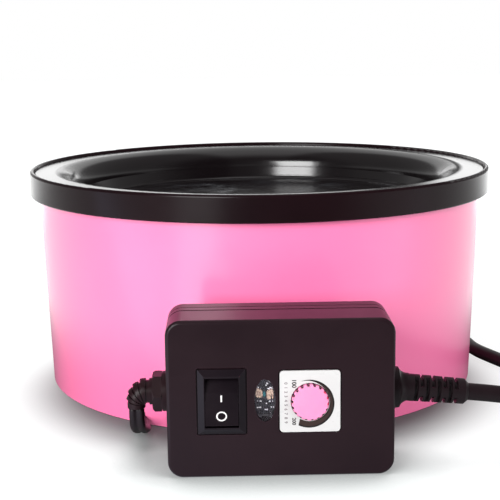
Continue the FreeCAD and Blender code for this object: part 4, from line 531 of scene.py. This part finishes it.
# %% Wool, ceramic, wires, board and glass
mineral_wool = finish("mineral_wool", linear(206, 198, 172), linear(178, 168, 140),
                      rough=(0.86, 0.98), grain_scale=900.0, bump=0.0004, blotch_scale=70.0)
ceramic_white = finish("ceramic_white", linear(226, 222, 212), linear(212, 206, 194),
                       rough=(0.3, 0.46), grain_scale=1100.0, bump=0.00002)
wire_jacket = finish("wire_jacket", linear(198, 190, 176), linear(176, 166, 150),
                     rough=(0.5, 0.66), grain_scale=1900.0, bump=0.00003)
board_laminate = finish("board_laminate", linear(44, 92, 58), linear(34, 76, 48),
                        rough=(0.3, 0.42), grain_scale=1300.0, bump=0.00001)
component_plastic = finish("component_plastic", linear(48, 50, 58), linear(36, 38, 44),
                           rough=(0.38, 0.5), grain_scale=1700.0, bump=0.00001)
lamp_glass = finish("lamp_glass", linear(236, 214, 170), linear(226, 196, 150),
                    rough=(0.06, 0.14), grain_scale=600.0, bump=0.00001,
                    transmission_weight=0.7, ior=1.5)
lay_on(mineral_wool, "insulation_pad")
lay_on(ceramic_white, "terminal_block", "thermal_fuse")
lay_on(wire_jacket, "heater_wires", "lead_wires", "box_wires")
lay_on(board_laminate, "circuit_board")
lay_on(component_plastic, "triac", "board_components", "potentiometer")
lay_on(lamp_glass, "indicator_lamps")

# %% [markdown]
# The rocker carries a bar and a ring, the usual signs for on and off. Both are thin
# printed shapes, worked out flat in millimetres and then laid on the rocker's lower
# flat, which is a plane: its height gives its depth. They turn with the rocker.

# %% Marks on the rocker
SWITCH_X, SWITCH_Z = -15.9, 25.2
PIVOT_Y = -126.4
ROCKER_RADIUS = 7.8
FLAT_TOP = (3.1, 1.5)
FLAT_LOW_OUT = 3.6
flat_low_up = -math.sqrt(ROCKER_RADIUS ** 2 - FLAT_LOW_OUT ** 2)
flat_slope = (FLAT_LOW_OUT - FLAT_TOP[1]) / (FLAT_TOP[0] - flat_low_up)
INK_LIFT = 0.02
BAR_SIDES, BAR_ENDS = (-0.35, 0.15), (0.4, 2.35)
RING_CENTRE, RING_HALF_SIZES, RING_STROKE = (-0.07, -4.0), (1.68, 1.46), 0.4


def on_rocker(x, up):
    """Point of the lower flat: it leans out evenly from the bend down to the low edge."""
    out = FLAT_TOP[1] + (FLAT_TOP[0] - up) * flat_slope + INK_LIFT
    return np.stack([SWITCH_X + x, PIVOT_Y - out, SWITCH_Z + up], axis=-1) * MM


def printed(name, points, body, material, slot_name, **wraps):
    """A printed mark: a surface that rides on a body and takes a material; slot_name is not
    used.
    """
    piece = surface(name, points, **wraps)
    piece.data.materials.append(material)
    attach(piece, body)
    return piece


def ring_grid(x, up, half_width, half_height, stroke, columns=48):
    """Flat ring: two ellipses, the outer and the inner one, as two rows of points."""
    angle = np.linspace(0, 2 * math.pi, columns, endpoint=False)
    rows = [on_rocker(x + (half_width - inset) * np.cos(angle),
                      up + (half_height - inset) * np.sin(angle)) for inset in (0.0, stroke)]
    return np.stack(rows)


mark_ink = finish("mark_ink", linear(234, 230, 230), linear(220, 216, 216),
                  rough=(0.4, 0.5), grain_scale=2500.0, bump=0.000004)
bar_x, bar_up = np.meshgrid(BAR_SIDES, BAR_ENDS)
on_mark = printed("on_mark", on_rocker(bar_x, bar_up), "rocker", mark_ink, "scale_white")
off_mark = printed("off_mark", ring_grid(*RING_CENTRE, *RING_HALF_SIZES, RING_STROKE),
                   "rocker", mark_ink, "scale_white", wrap_columns=True)
print("marks:", on_mark.name, off_mark.name)

# %% [markdown]
# Round the knob the plate carries a printed crescent that swells toward the hot end.
# It is a flat grid between two curves: the outer edge is a circle, and the inner edge
# draws away from it along the turn. The ink is darker along the outer edge, so its tone
# depends on the distance from the circle's centre.

# %% Crescent on the scale plate
PLATE_FACE_Y = -127.6
CRESCENT_CENTRE = (11.6, 24.2)
CRESCENT_OUTER = 7.85
CRESCENT_START = 109.0
CRESCENT_ENDS = (-122.0, -116.5)
CRESCENT_COLUMNS = 90
INNER_AT = ([CRESCENT_ENDS[0], -60.0, 0.0, 45.0, 80.0, CRESCENT_START],
            [5.7, 5.7, 6.45, 6.75, 7.3, 7.8])
EDGE_LINE = 0.35


def on_plate(x, z):
    """Point just in front of the scale plate, in metres."""
    return np.stack(np.broadcast_arrays(x, PLATE_FACE_Y - INK_LIFT, z), axis=-1) * MM


scale_ink, tree, shader = new_material("scale_ink")
place = add_node(tree, "ShaderNodeTexCoord")
offset = add_node(tree, "ShaderNodeVectorMath", operation="SUBTRACT")
offset.inputs[1].default_value = on_plate(*CRESCENT_CENTRE).tolist()
flat = add_node(tree, "ShaderNodeVectorMath", {1: (1.0, 0.0, 1.0)}, operation="MULTIPLY")
reach = add_node(tree, "ShaderNodeVectorMath", operation="LENGTH")
outline = add_node(tree, "ShaderNodeMapRange",
                   {"From Min": (CRESCENT_OUTER - 2 * EDGE_LINE) * MM,
                    "From Max": (CRESCENT_OUTER - EDGE_LINE) * MM})
tones = add_node(tree, "ShaderNodeMix", data_type="RGBA")
tones.inputs[6].default_value = linear(50, 36, 33)
tones.inputs[7].default_value = linear(16, 10, 10)
join(tree, place, "Object", offset, 0)
join(tree, offset, "Vector", flat, 0)
join(tree, flat, "Vector", reach, 0)
join(tree, reach, "Value", outline, "Value")
join(tree, outline, "Result", tones, 0)
tree.links.new(tones.outputs[2], shader.inputs["Base Color"])
shader.inputs["Roughness"].default_value = 0.4
shader.inputs["Specular IOR Level"].default_value = 0.3

rings = []
for end in CRESCENT_ENDS:
    turn = np.linspace(CRESCENT_START, end, CRESCENT_COLUMNS)
    radius = CRESCENT_OUTER if rings else np.interp(turn, *INNER_AT)
    rings.append(on_plate(CRESCENT_CENTRE[0] + radius * np.cos(np.radians(turn)),
                          CRESCENT_CENTRE[1] + radius * np.sin(np.radians(turn))))
crescent = printed("dial_crescent", np.stack(rings), "pot", scale_ink, "scale_white")
print("crescent points:", len(crescent.data.vertices))

# %% [markdown]
# Plain numbers stand beside the crescent. They start as text curves, because the
# outlines of a font are clean, and are made into meshes before they are put in place.
# Each is turned a quarter, so that it reads downward.

# %% Numbers on the scale plate
def number(name, text, x, z, size, material, spacing=1.0, bold=0.0):
    """Numbers on the plate: the text's line runs down, its height points to the right."""
    curve = bpy.data.curves.new(name, "FONT")
    curve.body = text
    curve.size = size
    curve.align_x = "CENTER"
    curve.align_y = "CENTER"
    curve.space_character = spacing
    curve.offset = bold
    letters = bpy.data.objects.new(name + "_curve", curve)
    mesh = bpy.data.meshes.new_from_object(letters)
    mesh.name = name
    bpy.data.objects.remove(letters)
    written = np.empty(len(mesh.vertices) * 3)
    mesh.vertices.foreach_get("co", written)
    along, up = written.reshape(-1, 3)[:, :2].T
    mesh.vertices.foreach_set("co", on_plate(x + up, z - along).ravel())
    mesh.update()
    mesh.materials.clear()
    mesh.materials.append(material)
    piece = bpy.data.objects.new(name, mesh)
    bpy.context.collection.objects.link(piece)
    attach(piece, "pot")
    return piece


pale_ink = finish("pale_ink", linear(112, 102, 106), linear(104, 94, 98),
                  rough=(0.35, 0.45), grain_scale=2500.0, bump=0.000002)
numbers = [
    number("number_low", "100", 6.75, 30.9, 1.9, scale_ink, bold=0.05),
    number("number_high", "200", 6.7, 18.5, 1.6, scale_ink, bold=0.05),
    number("small_numbers", "0123456789", 4.2, 24.6, 1.35, pale_ink, spacing=2.1, bold=0.03)]
print("numbers:", ", ".join(piece.name for piece in numbers))

# %% [markdown]
# Behind the clear lens sit two small lamp blocks with a green die between them. The
# little sparks that the lens's moulded facets would throw are painted highlights, and
# pale arcs along its rim are a painted sheen. All of these are flat ovals. One function
# works out the outlines, one makes a piece of them, and one makes a finish whose faint
# glow is painted light, because hardly any light gets through the lens to them.

# %% Helpers for the inside of the lens
def ovals(rows, y, power=2.0, columns=20):
    """One mesh of flat ovals; rows hold x, z, half width, half height and tilt.

    The outline is a superellipse: power 2 gives an ellipse, a higher power a block
    with rounded corners.
    """
    angle = np.linspace(0, 2 * math.pi, columns, endpoint=False)
    cosine, sine = np.cos(angle), np.sin(angle)
    u = np.sign(cosine) * np.abs(cosine) ** (2 / power)
    v = np.sign(sine) * np.abs(sine) ** (2 / power)
    points, faces = [], []
    for x, z, wide, high, tilt in rows:
        lean = math.radians(tilt)
        px = x + wide * u * math.cos(lean) - high * v * math.sin(lean)
        pz = z + wide * u * math.sin(lean) + high * v * math.cos(lean)
        faces.append([len(points) + k for k in range(columns)])
        points += (np.stack([px, np.full(columns, y), pz], axis=1) * MM).tolist()
    return points, faces


def flat_ovals(name, rows, y, material, power=2.0, body="pot"):
    """Flat ovals in one plane as one piece that rides on a body."""
    points, faces = ovals(rows, y, power)
    mesh = bpy.data.meshes.new(name)
    mesh.from_pydata(points, [], faces)
    mesh.materials.append(material)
    piece = bpy.data.objects.new(name, mesh)
    bpy.context.collection.objects.link(piece)
    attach(piece, body)
    return piece


def glowing(name, tone, second_tone, strength, blotch_scale=900.0):
    """A finish whose own tones also glow a little: painted light where no lamp reaches."""
    material = finish(name, tone, second_tone, rough=(0.2, 0.4), blotch_scale=blotch_scale)
    tree = material.node_tree
    shader = tree.nodes["Principled BSDF"]
    source = shader.inputs["Base Color"].links[0].from_socket
    tree.links.new(source, shader.inputs["Emission Color"])
    shader.inputs["Emission Strength"].default_value = strength
    return material

# %% [markdown]
# Each oval is a row of numbers: its centre, its half-sizes and its tilt. Each kind lies
# in a thin layer of its own, so no two faces share a plane, and the nearer ones are
# seen in front.

# %% Inside of the lens
LENS_CENTRE = (-2.3, 25.3)
LENS_HALF_SIZES = (3.6, 7.2)
LENS_BACK_Y = -123.4
LAYER = 0.05
BLOCK_POWER = 3.2
# The glow of these finishes is painted light, standing in for light through the lens.
lens_dark = glowing("lens_dark", linear(34, 28, 30), linear(42, 36, 38), 0.7)
# Painted sheen: the pale light along the lens's rim, as grey glowing ovals.
lens_sheen_grey = glowing("lens_sheen_grey", linear(112, 106, 104), linear(92, 90, 94), 0.8)
lens_tan = glowing("lens_tan", linear(146, 118, 104), linear(228, 198, 166), 0.75, 1400.0)
lens_green = glowing("lens_green", linear(44, 104, 104), linear(30, 74, 76), 0.9)
# Painted highlights: the glints of the lens's facets, as pale glowing flakes.
lens_painted_glint = glowing("lens_painted_glint", linear(226, 224, 222), linear(206, 200, 196), 0.9)
back_rows = [(*LENS_CENTRE, *LENS_HALF_SIZES, 0.0)]
# Painted sheen: arcs at the top, strips at the sides and a bar at the bottom of the lens.
painted_sheen_rows = [(-3.7, 30.2, 0.35, 1.6, -30.0), (-0.9, 30.4, 0.25, 1.3, 30.0),
             (-4.9, 24.4, 0.2, 1.9, 4.0), (0.35, 25.2, 0.2, 2.6, -3.0),
             (-2.3, 19.6, 1.7, 0.16, 0.0)]
block_rows = [(-3.75, 26.8, 0.75, 1.4, 6.0), (-1.0, 26.35, 0.75, 1.6, 0.0)]
die_rows = [(-2.45, 26.6, 0.42, 0.95, 0.0)]
# Painted highlights: where the lens's glints sit and how large they are.
painted_glint_rows = [(-4.0, 28.4, 0.55, 0.2, 18.0), (-0.9, 28.3, 0.6, 0.22, -14.0),
              (-1.85, 29.5, 0.22, 0.26, 0.0), (-3.6, 24.3, 0.35, 0.2, -10.0),
              (-0.75, 24.2, 0.32, 0.22, 10.0), (-1.8, 23.5, 0.24, 0.24, 0.0),
              (-3.8, 22.3, 0.42, 0.2, 12.0), (-0.25, 22.3, 0.28, 0.2, -25.0),
              (-2.2, 21.5, 0.2, 0.2, 0.0), (-1.6, 21.5, 0.26, 0.24, 0.0),
              (0.45, 23.8, 0.14, 0.7, 0.0)]
lens_pieces = [
    flat_ovals("lens_back", back_rows, LENS_BACK_Y, lens_dark),
    flat_ovals("lens_painted_sheen", painted_sheen_rows, LENS_BACK_Y - 2 * LAYER, lens_sheen_grey),
    flat_ovals("lens_blocks", block_rows, LENS_BACK_Y - 3 * LAYER, lens_tan,
               power=BLOCK_POWER),
    flat_ovals("lens_die", die_rows, LENS_BACK_Y - 4 * LAYER, lens_green),
    flat_ovals("lens_painted_glints", painted_glint_rows, LENS_BACK_Y - 5 * LAYER, lens_painted_glint)]
print("pieces behind the lens:", len(lens_pieces))

# %% [markdown]
# Each flute of the knob is a deep little pocket that light hardly reaches. A dark oval
# in every pocket is painted shade for that depth. On the side that the light shines
# through, the pockets glow red, so the ovals there are painted light in red. All of them
# turn with the knob.

# %% Pockets of the knob, with painted shade and painted light
DIAL_AXIS = (11.8, 24.9)
POCKET_RADIUS = 5.5
POCKET_HALF_SIZES = (0.3, 0.46)
POCKET_Y = -128.8
FLUTES, FLUTE_PHASE = 18, 16.0
LIT_FROM, LIT_TO = -12.0, 40.0
# Painted shade in the dark pockets, painted red light in the pockets on the lit side.
pocket_painted_shade = finish("pocket_painted_shade", linear(34, 16, 20), linear(44, 20, 26), rough=(0.6, 0.7))
pocket_painted_light = finish("pocket_painted_light", linear(214, 62, 98), linear(196, 48, 84), rough=(0.5, 0.6))
for name, material in (("painted_shade_pockets", pocket_painted_shade), ("painted_lit_pockets", pocket_painted_light)):
    rows = []
    for index in range(FLUTES):
        angle = 360.0 / FLUTES * index + FLUTE_PHASE
        around = (angle + 180.0) % 360.0 - 180.0
        lit = LIT_FROM < around < LIT_TO
        if lit == (material is pocket_painted_light):
            rows.append((DIAL_AXIS[0] + POCKET_RADIUS * math.cos(math.radians(angle)),
                         DIAL_AXIS[1] + POCKET_RADIUS * math.sin(math.radians(angle)),
                         *POCKET_HALF_SIZES, angle))
    flat_ovals(name, rows, POCKET_Y, material, body="dial")
    print(name, len(rows))

# %% [markdown]
# Paper and sky should look different to the eye, to a mirror and to a shadow. The
# Light Path node tells which kind of ray asks. Three helpers build the answers: one
# chains sockets by a sum, a product or the like, one makes a smooth step from one value
# to another, and one picks the rays that are seen directly.

# %% Helpers for the floor and the world
def fold(tree, operation, *sockets):
    """Joins output sockets two by two by a math operation, from left to right."""
    result = sockets[0]
    for socket in sockets[1:]:
        both = add_node(tree, "ShaderNodeMath", operation=operation)
        tree.links.new(result, both.inputs[0])
        tree.links.new(socket, both.inputs[1])
        result = both.outputs[0]
    return result


def ramp(tree, source, low, high, to_low=0.0, to_high=1.0):
    """A smooth step of a socket: to_low at low, to_high at high, level beyond both."""
    step = add_node(tree, "ShaderNodeMapRange",
                    {"From Min": low, "From Max": high, "To Min": to_low, "To Max": to_high},
                    interpolation_type="SMOOTHSTEP")
    tree.links.new(source, step.inputs["Value"])
    return step.outputs["Result"]


def seen_rays(tree):
    """The ray kinds, and 1 for rays of the camera and rays through clear plastic."""
    kinds = add_node(tree, "ShaderNodeLightPath").outputs
    return kinds, fold(tree, "MAXIMUM", kinds["Is Camera Ray"], kinds["Is Transmission Ray"])

# %% [markdown]
# A product like this stands on white paper. Here the paper is a wide plane whose white
# is a glow of its own that only the camera and clear plastic see, so the paper doesn't
# dazzle the object. Its dull base still takes the shadows of the lamps.

# %% Paper floor
FLOOR_REACH = 3.0
FLOOR_DROP = 0.1 * MM
PAPER_BASE = (0.175, 0.2, 0.196, 1.0)
corner_x, corner_y = np.meshgrid([-FLOOR_REACH, FLOOR_REACH], [-FLOOR_REACH, FLOOR_REACH])
floor = surface("floor", np.stack([corner_x, corner_y, np.full((2, 2), -FLOOR_DROP)], axis=-1))
paper, tree, shader = new_material("white_paper")
shader.inputs["Base Color"].default_value = PAPER_BASE
shader.inputs["Roughness"].default_value = 0.9
shader.inputs["Specular IOR Level"].default_value = 0.1
place = add_node(tree, "ShaderNodeTexCoord")
flat = add_node(tree, "ShaderNodeSeparateXYZ")
distance = add_node(tree, "ShaderNodeVectorMath", operation="LENGTH")
join(tree, place, "Object", flat, "Vector")
join(tree, place, "Object", distance, 0)
floor_x, floor_y = flat.outputs["X"], flat.outputs["Y"]
print("floor half side in m:", FLOOR_REACH)

# %% [markdown]
# Under soft light an object has a wide round shade that follows its foot, and a dark
# edge where it nearly touches the paper. The first is a smooth step of the distance
# from a point under the pot, a little toward the front. The second is Ambient
# Occlusion, kept to the front, where the control box stands. Further out the paper
# turns to plain white. A weak glow for diffuse rays stands for the light that white
# paper throws back on the object.

# %% Shade under the object
SHADE_CENTRE = (0.0, -0.024, 0.0)
SHADE_REACH = (0.070, 0.102)
CONTACT_REACH = 0.026
CONTACT_STEP = (0.45, 0.95, 0.35, 1.0)
CONTACT_FRONT = (-0.11, -0.08)
WHITE_REACH = (0.22, 0.5)
GLOW_NEAR, GLOW_FAR = 0.84, 1.0
BOUNCE = 0.3
from_shade = add_node(tree, "ShaderNodeVectorMath", {1: SHADE_CENTRE}, operation="DISTANCE")
join(tree, place, "Object", from_shade, 0)
contact = add_node(tree, "ShaderNodeAmbientOcclusion", {"Distance": CONTACT_REACH}, samples=12)
open_paper = fold(tree, "MAXIMUM", ramp(tree, contact.outputs["AO"], *CONTACT_STEP),
                  ramp(tree, floor_y, *CONTACT_FRONT))
near = fold(tree, "MULTIPLY",
            ramp(tree, from_shade.outputs["Value"], *SHADE_REACH, 0.0, GLOW_NEAR), open_paper)
glow = add_node(tree, "ShaderNodeMix", {"B": GLOW_FAR})
tree.links.new(ramp(tree, distance.outputs["Value"], *WHITE_REACH), glow.inputs["Factor"])
tree.links.new(near, glow.inputs["A"])
kinds, seen = seen_rays(tree)
for_eye = fold(tree, "MULTIPLY", glow.outputs["Result"], seen)
for_shadow = add_node(tree, "ShaderNodeMath", {1: BOUNCE}, operation="MULTIPLY")
tree.links.new(kinds["Is Diffuse Ray"], for_shadow.inputs[0])
print("shade from", SHADE_REACH[0], "to", SHADE_REACH[1], "m")

# %% [markdown]
# What the glossy paint and the black plastics mirror of the paper shows their form: a
# bright streak in front on the left, light paper at both sides and behind, and a softer
# and cooler patch in front of the box. Each patch is a product of smooth steps over the
# floor, and only glossy rays meet it.

# %% Glow that only reflections see
STREAK_SLANTS = ((0.25, 0.45), (0.85, 0.65))
STREAK_Y = (-0.12, -0.2, 0.0, 2.0)
SIDE_BEARING = (0.5, 0.9, 0.0, 1.05)
SIDE_Y = (-0.02, 0.12, 0.0, 1.05)
SIDE_REACH = (0.1, 0.2)
FRONT_Y = ((-0.3, -0.16), (-0.1, -0.13))
FRONT_X = (-0.12, 0.06, 1.3, 0.39)
BEHIND_Y = (0.25, 0.5)
COOL_LIGHT = (0.88, 0.92, 1.12, 1.0)
slant = fold(tree, "DIVIDE", floor_x, floor_y)
streak = fold(tree, "MULTIPLY", *(ramp(tree, slant, *limits) for limits in STREAK_SLANTS),
              ramp(tree, floor_y, *STREAK_Y))
bearing = add_node(tree, "ShaderNodeVectorMath", operation="NORMALIZE")
apart = add_node(tree, "ShaderNodeSeparateXYZ")
aside = add_node(tree, "ShaderNodeMath", operation="ABSOLUTE")
join(tree, place, "Object", bearing, 0)
join(tree, bearing, "Vector", apart, "Vector")
join(tree, apart, "X", aside, 0)
around = fold(tree, "MAXIMUM", ramp(tree, aside.outputs["Value"], *SIDE_BEARING),
              ramp(tree, floor_y, *SIDE_Y))
side = fold(tree, "MULTIPLY", around, ramp(tree, distance.outputs["Value"], *SIDE_REACH))
front = fold(tree, "MULTIPLY", *(ramp(tree, floor_y, *limits) for limits in FRONT_Y),
             ramp(tree, floor_x, *FRONT_X))
behind = ramp(tree, floor_y, *BEHIND_Y)
for_mirror = [fold(tree, "MULTIPLY", patch, kinds["Is Glossy Ray"])
              for patch in (streak, side, front, behind)]
lit = fold(tree, "ADD", for_shadow.outputs["Value"], for_eye, *for_mirror)
tree.links.new(lit, shader.inputs["Emission Strength"])
tint = add_node(tree, "ShaderNodeMix", data_type="RGBA")
tint.inputs[6].default_value = (1.0, 1.0, 1.0, 1.0)
tint.inputs[7].default_value = COOL_LIGHT
tree.links.new(for_mirror[2], tint.inputs[0])
tree.links.new(tint.outputs[2], shader.inputs["Emission Color"])
floor.data.materials.append(paper)
print("patches for reflections:", len(for_mirror))

# %% [markdown]
# A tall soft box stands in front on the left and makes the upright highlight on the
# shell and the bright patch on the far wall of the pan. A second one lights the right
# side, one hangs above, and two weak ones stand behind. These four are hidden from
# reflections, so a glossy piece mirrors one lamp only and its highlights stay simple.

# %% Lamps
LAMP_AIM = (0.0, 0.0, 0.04)


def soft_lamp(name, place, size, power, mirrored=True):
    """A rectangular area lamp that looks at the aim; mirrored shows it in reflections."""
    data = bpy.data.lights.new(name, "AREA")
    data.shape = "RECTANGLE"
    data.size, data.size_y = size
    data.energy = power
    lamp = bpy.data.objects.new(name, data)
    way = Vector(LAMP_AIM) - Vector(place)
    lamp.matrix_world = (Matrix.Translation(place)
                         @ way.to_track_quat("-Z", "Y").to_matrix().to_4x4())
    lamp.visible_camera = False
    lamp.visible_glossy = mirrored
    bpy.context.collection.objects.link(lamp)
    return lamp


lamps = [
    soft_lamp("front_left", (-0.42, -0.78, 0.30), (0.42, 0.5), 9.2),
    soft_lamp("front_right", (0.75, -0.55, 0.4), (0.5, 0.5), 5.2, mirrored=False),
    soft_lamp("above", (-0.1, 0.15, 0.95), (0.7, 0.7), 6.4, mirrored=False),
    soft_lamp("back_left", (-0.42, 0.9, 0.2), (0.5, 0.4), 0.55, mirrored=False),
    soft_lamp("back_right", (0.42, 0.9, 0.2), (0.5, 0.4), 0.55, mirrored=False)]
print("lamps:", ", ".join(lamp.name for lamp in lamps))

# %% [markdown]
# The world is white to the eye and fills the shadows with a weak even light. A mirror
# sees more in it: dark in front, dim at the far sides, brightest low behind and a little
# dimmer overhead. Low behind the pot hangs a dark card whose left edge leans to the
# right as it rises. The flange mirrors it, so its far middle stays deep while both its
# ends shine. All of this depends on the direction alone, which Generated gives here.

# %% World
FILL = 0.23
FRONT_FADE = (-0.75, -0.1, 0.12, 1.0)
SIDE_FADE = (0.22, 0.36, 1.1, 0.3)
LOW_GLOW = (0.15, 0.20, 1.9, 1.0)
CEILING_FADE = (0.22, 0.32, 1.0, 0.8)
CARD_LEFT, CARD_RIGHT = (-0.16, -0.12), (0.20, 0.15)
CARD_TOP, CARD_BEHIND = (0.26, 0.20), (0.28, 0.32)
CARD_LEAN = (0.095, 0.145, 0.0, 0.26)
CARD_LEVEL = 0.03
world = bpy.data.worlds.new("studio")
bpy.context.scene.world = world
world.use_nodes = True
tree = world.node_tree
background = tree.nodes["Background"]
background.inputs["Color"].default_value = (1.0, 1.0, 1.0, 1.0)
place = add_node(tree, "ShaderNodeTexCoord")
way = add_node(tree, "ShaderNodeSeparateXYZ")
aside = add_node(tree, "ShaderNodeMath", operation="ABSOLUTE")
join(tree, place, "Generated", way, "Vector")
join(tree, way, "X", aside, 0)
way_x, way_y, way_z = (way.outputs[axis] for axis in "XYZ")
leaned = fold(tree, "SUBTRACT", way_x, ramp(tree, way_z, *CARD_LEAN))
card = fold(tree, "MULTIPLY", ramp(tree, leaned, *CARD_LEFT), ramp(tree, way_x, *CARD_RIGHT),
            ramp(tree, way_z, *CARD_TOP), ramp(tree, way_y, *CARD_BEHIND))
mirror = fold(tree, "MULTIPLY", ramp(tree, way_y, *FRONT_FADE),
              ramp(tree, aside.outputs["Value"], *SIDE_FADE), ramp(tree, way_z, *LOW_GLOW),
              ramp(tree, way_z, *CEILING_FADE), ramp(tree, card, 0.0, 1.0, 1.0, CARD_LEVEL))
kinds, seen = seen_rays(tree)
for_mirror = add_node(tree, "ShaderNodeMix", {"A": FILL})
tree.links.new(kinds["Is Glossy Ray"], for_mirror.inputs["Factor"])
tree.links.new(mirror, for_mirror.inputs["B"])
for_eye = add_node(tree, "ShaderNodeMix", {"B": 1.0})
tree.links.new(seen, for_eye.inputs["Factor"])
join(tree, for_mirror, "Result", for_eye, "A")
join(tree, for_eye, "Result", background, "Strength")
bpy.context.scene.view_settings.view_transform = "Standard"
print("nodes in the world:", len(tree.nodes))
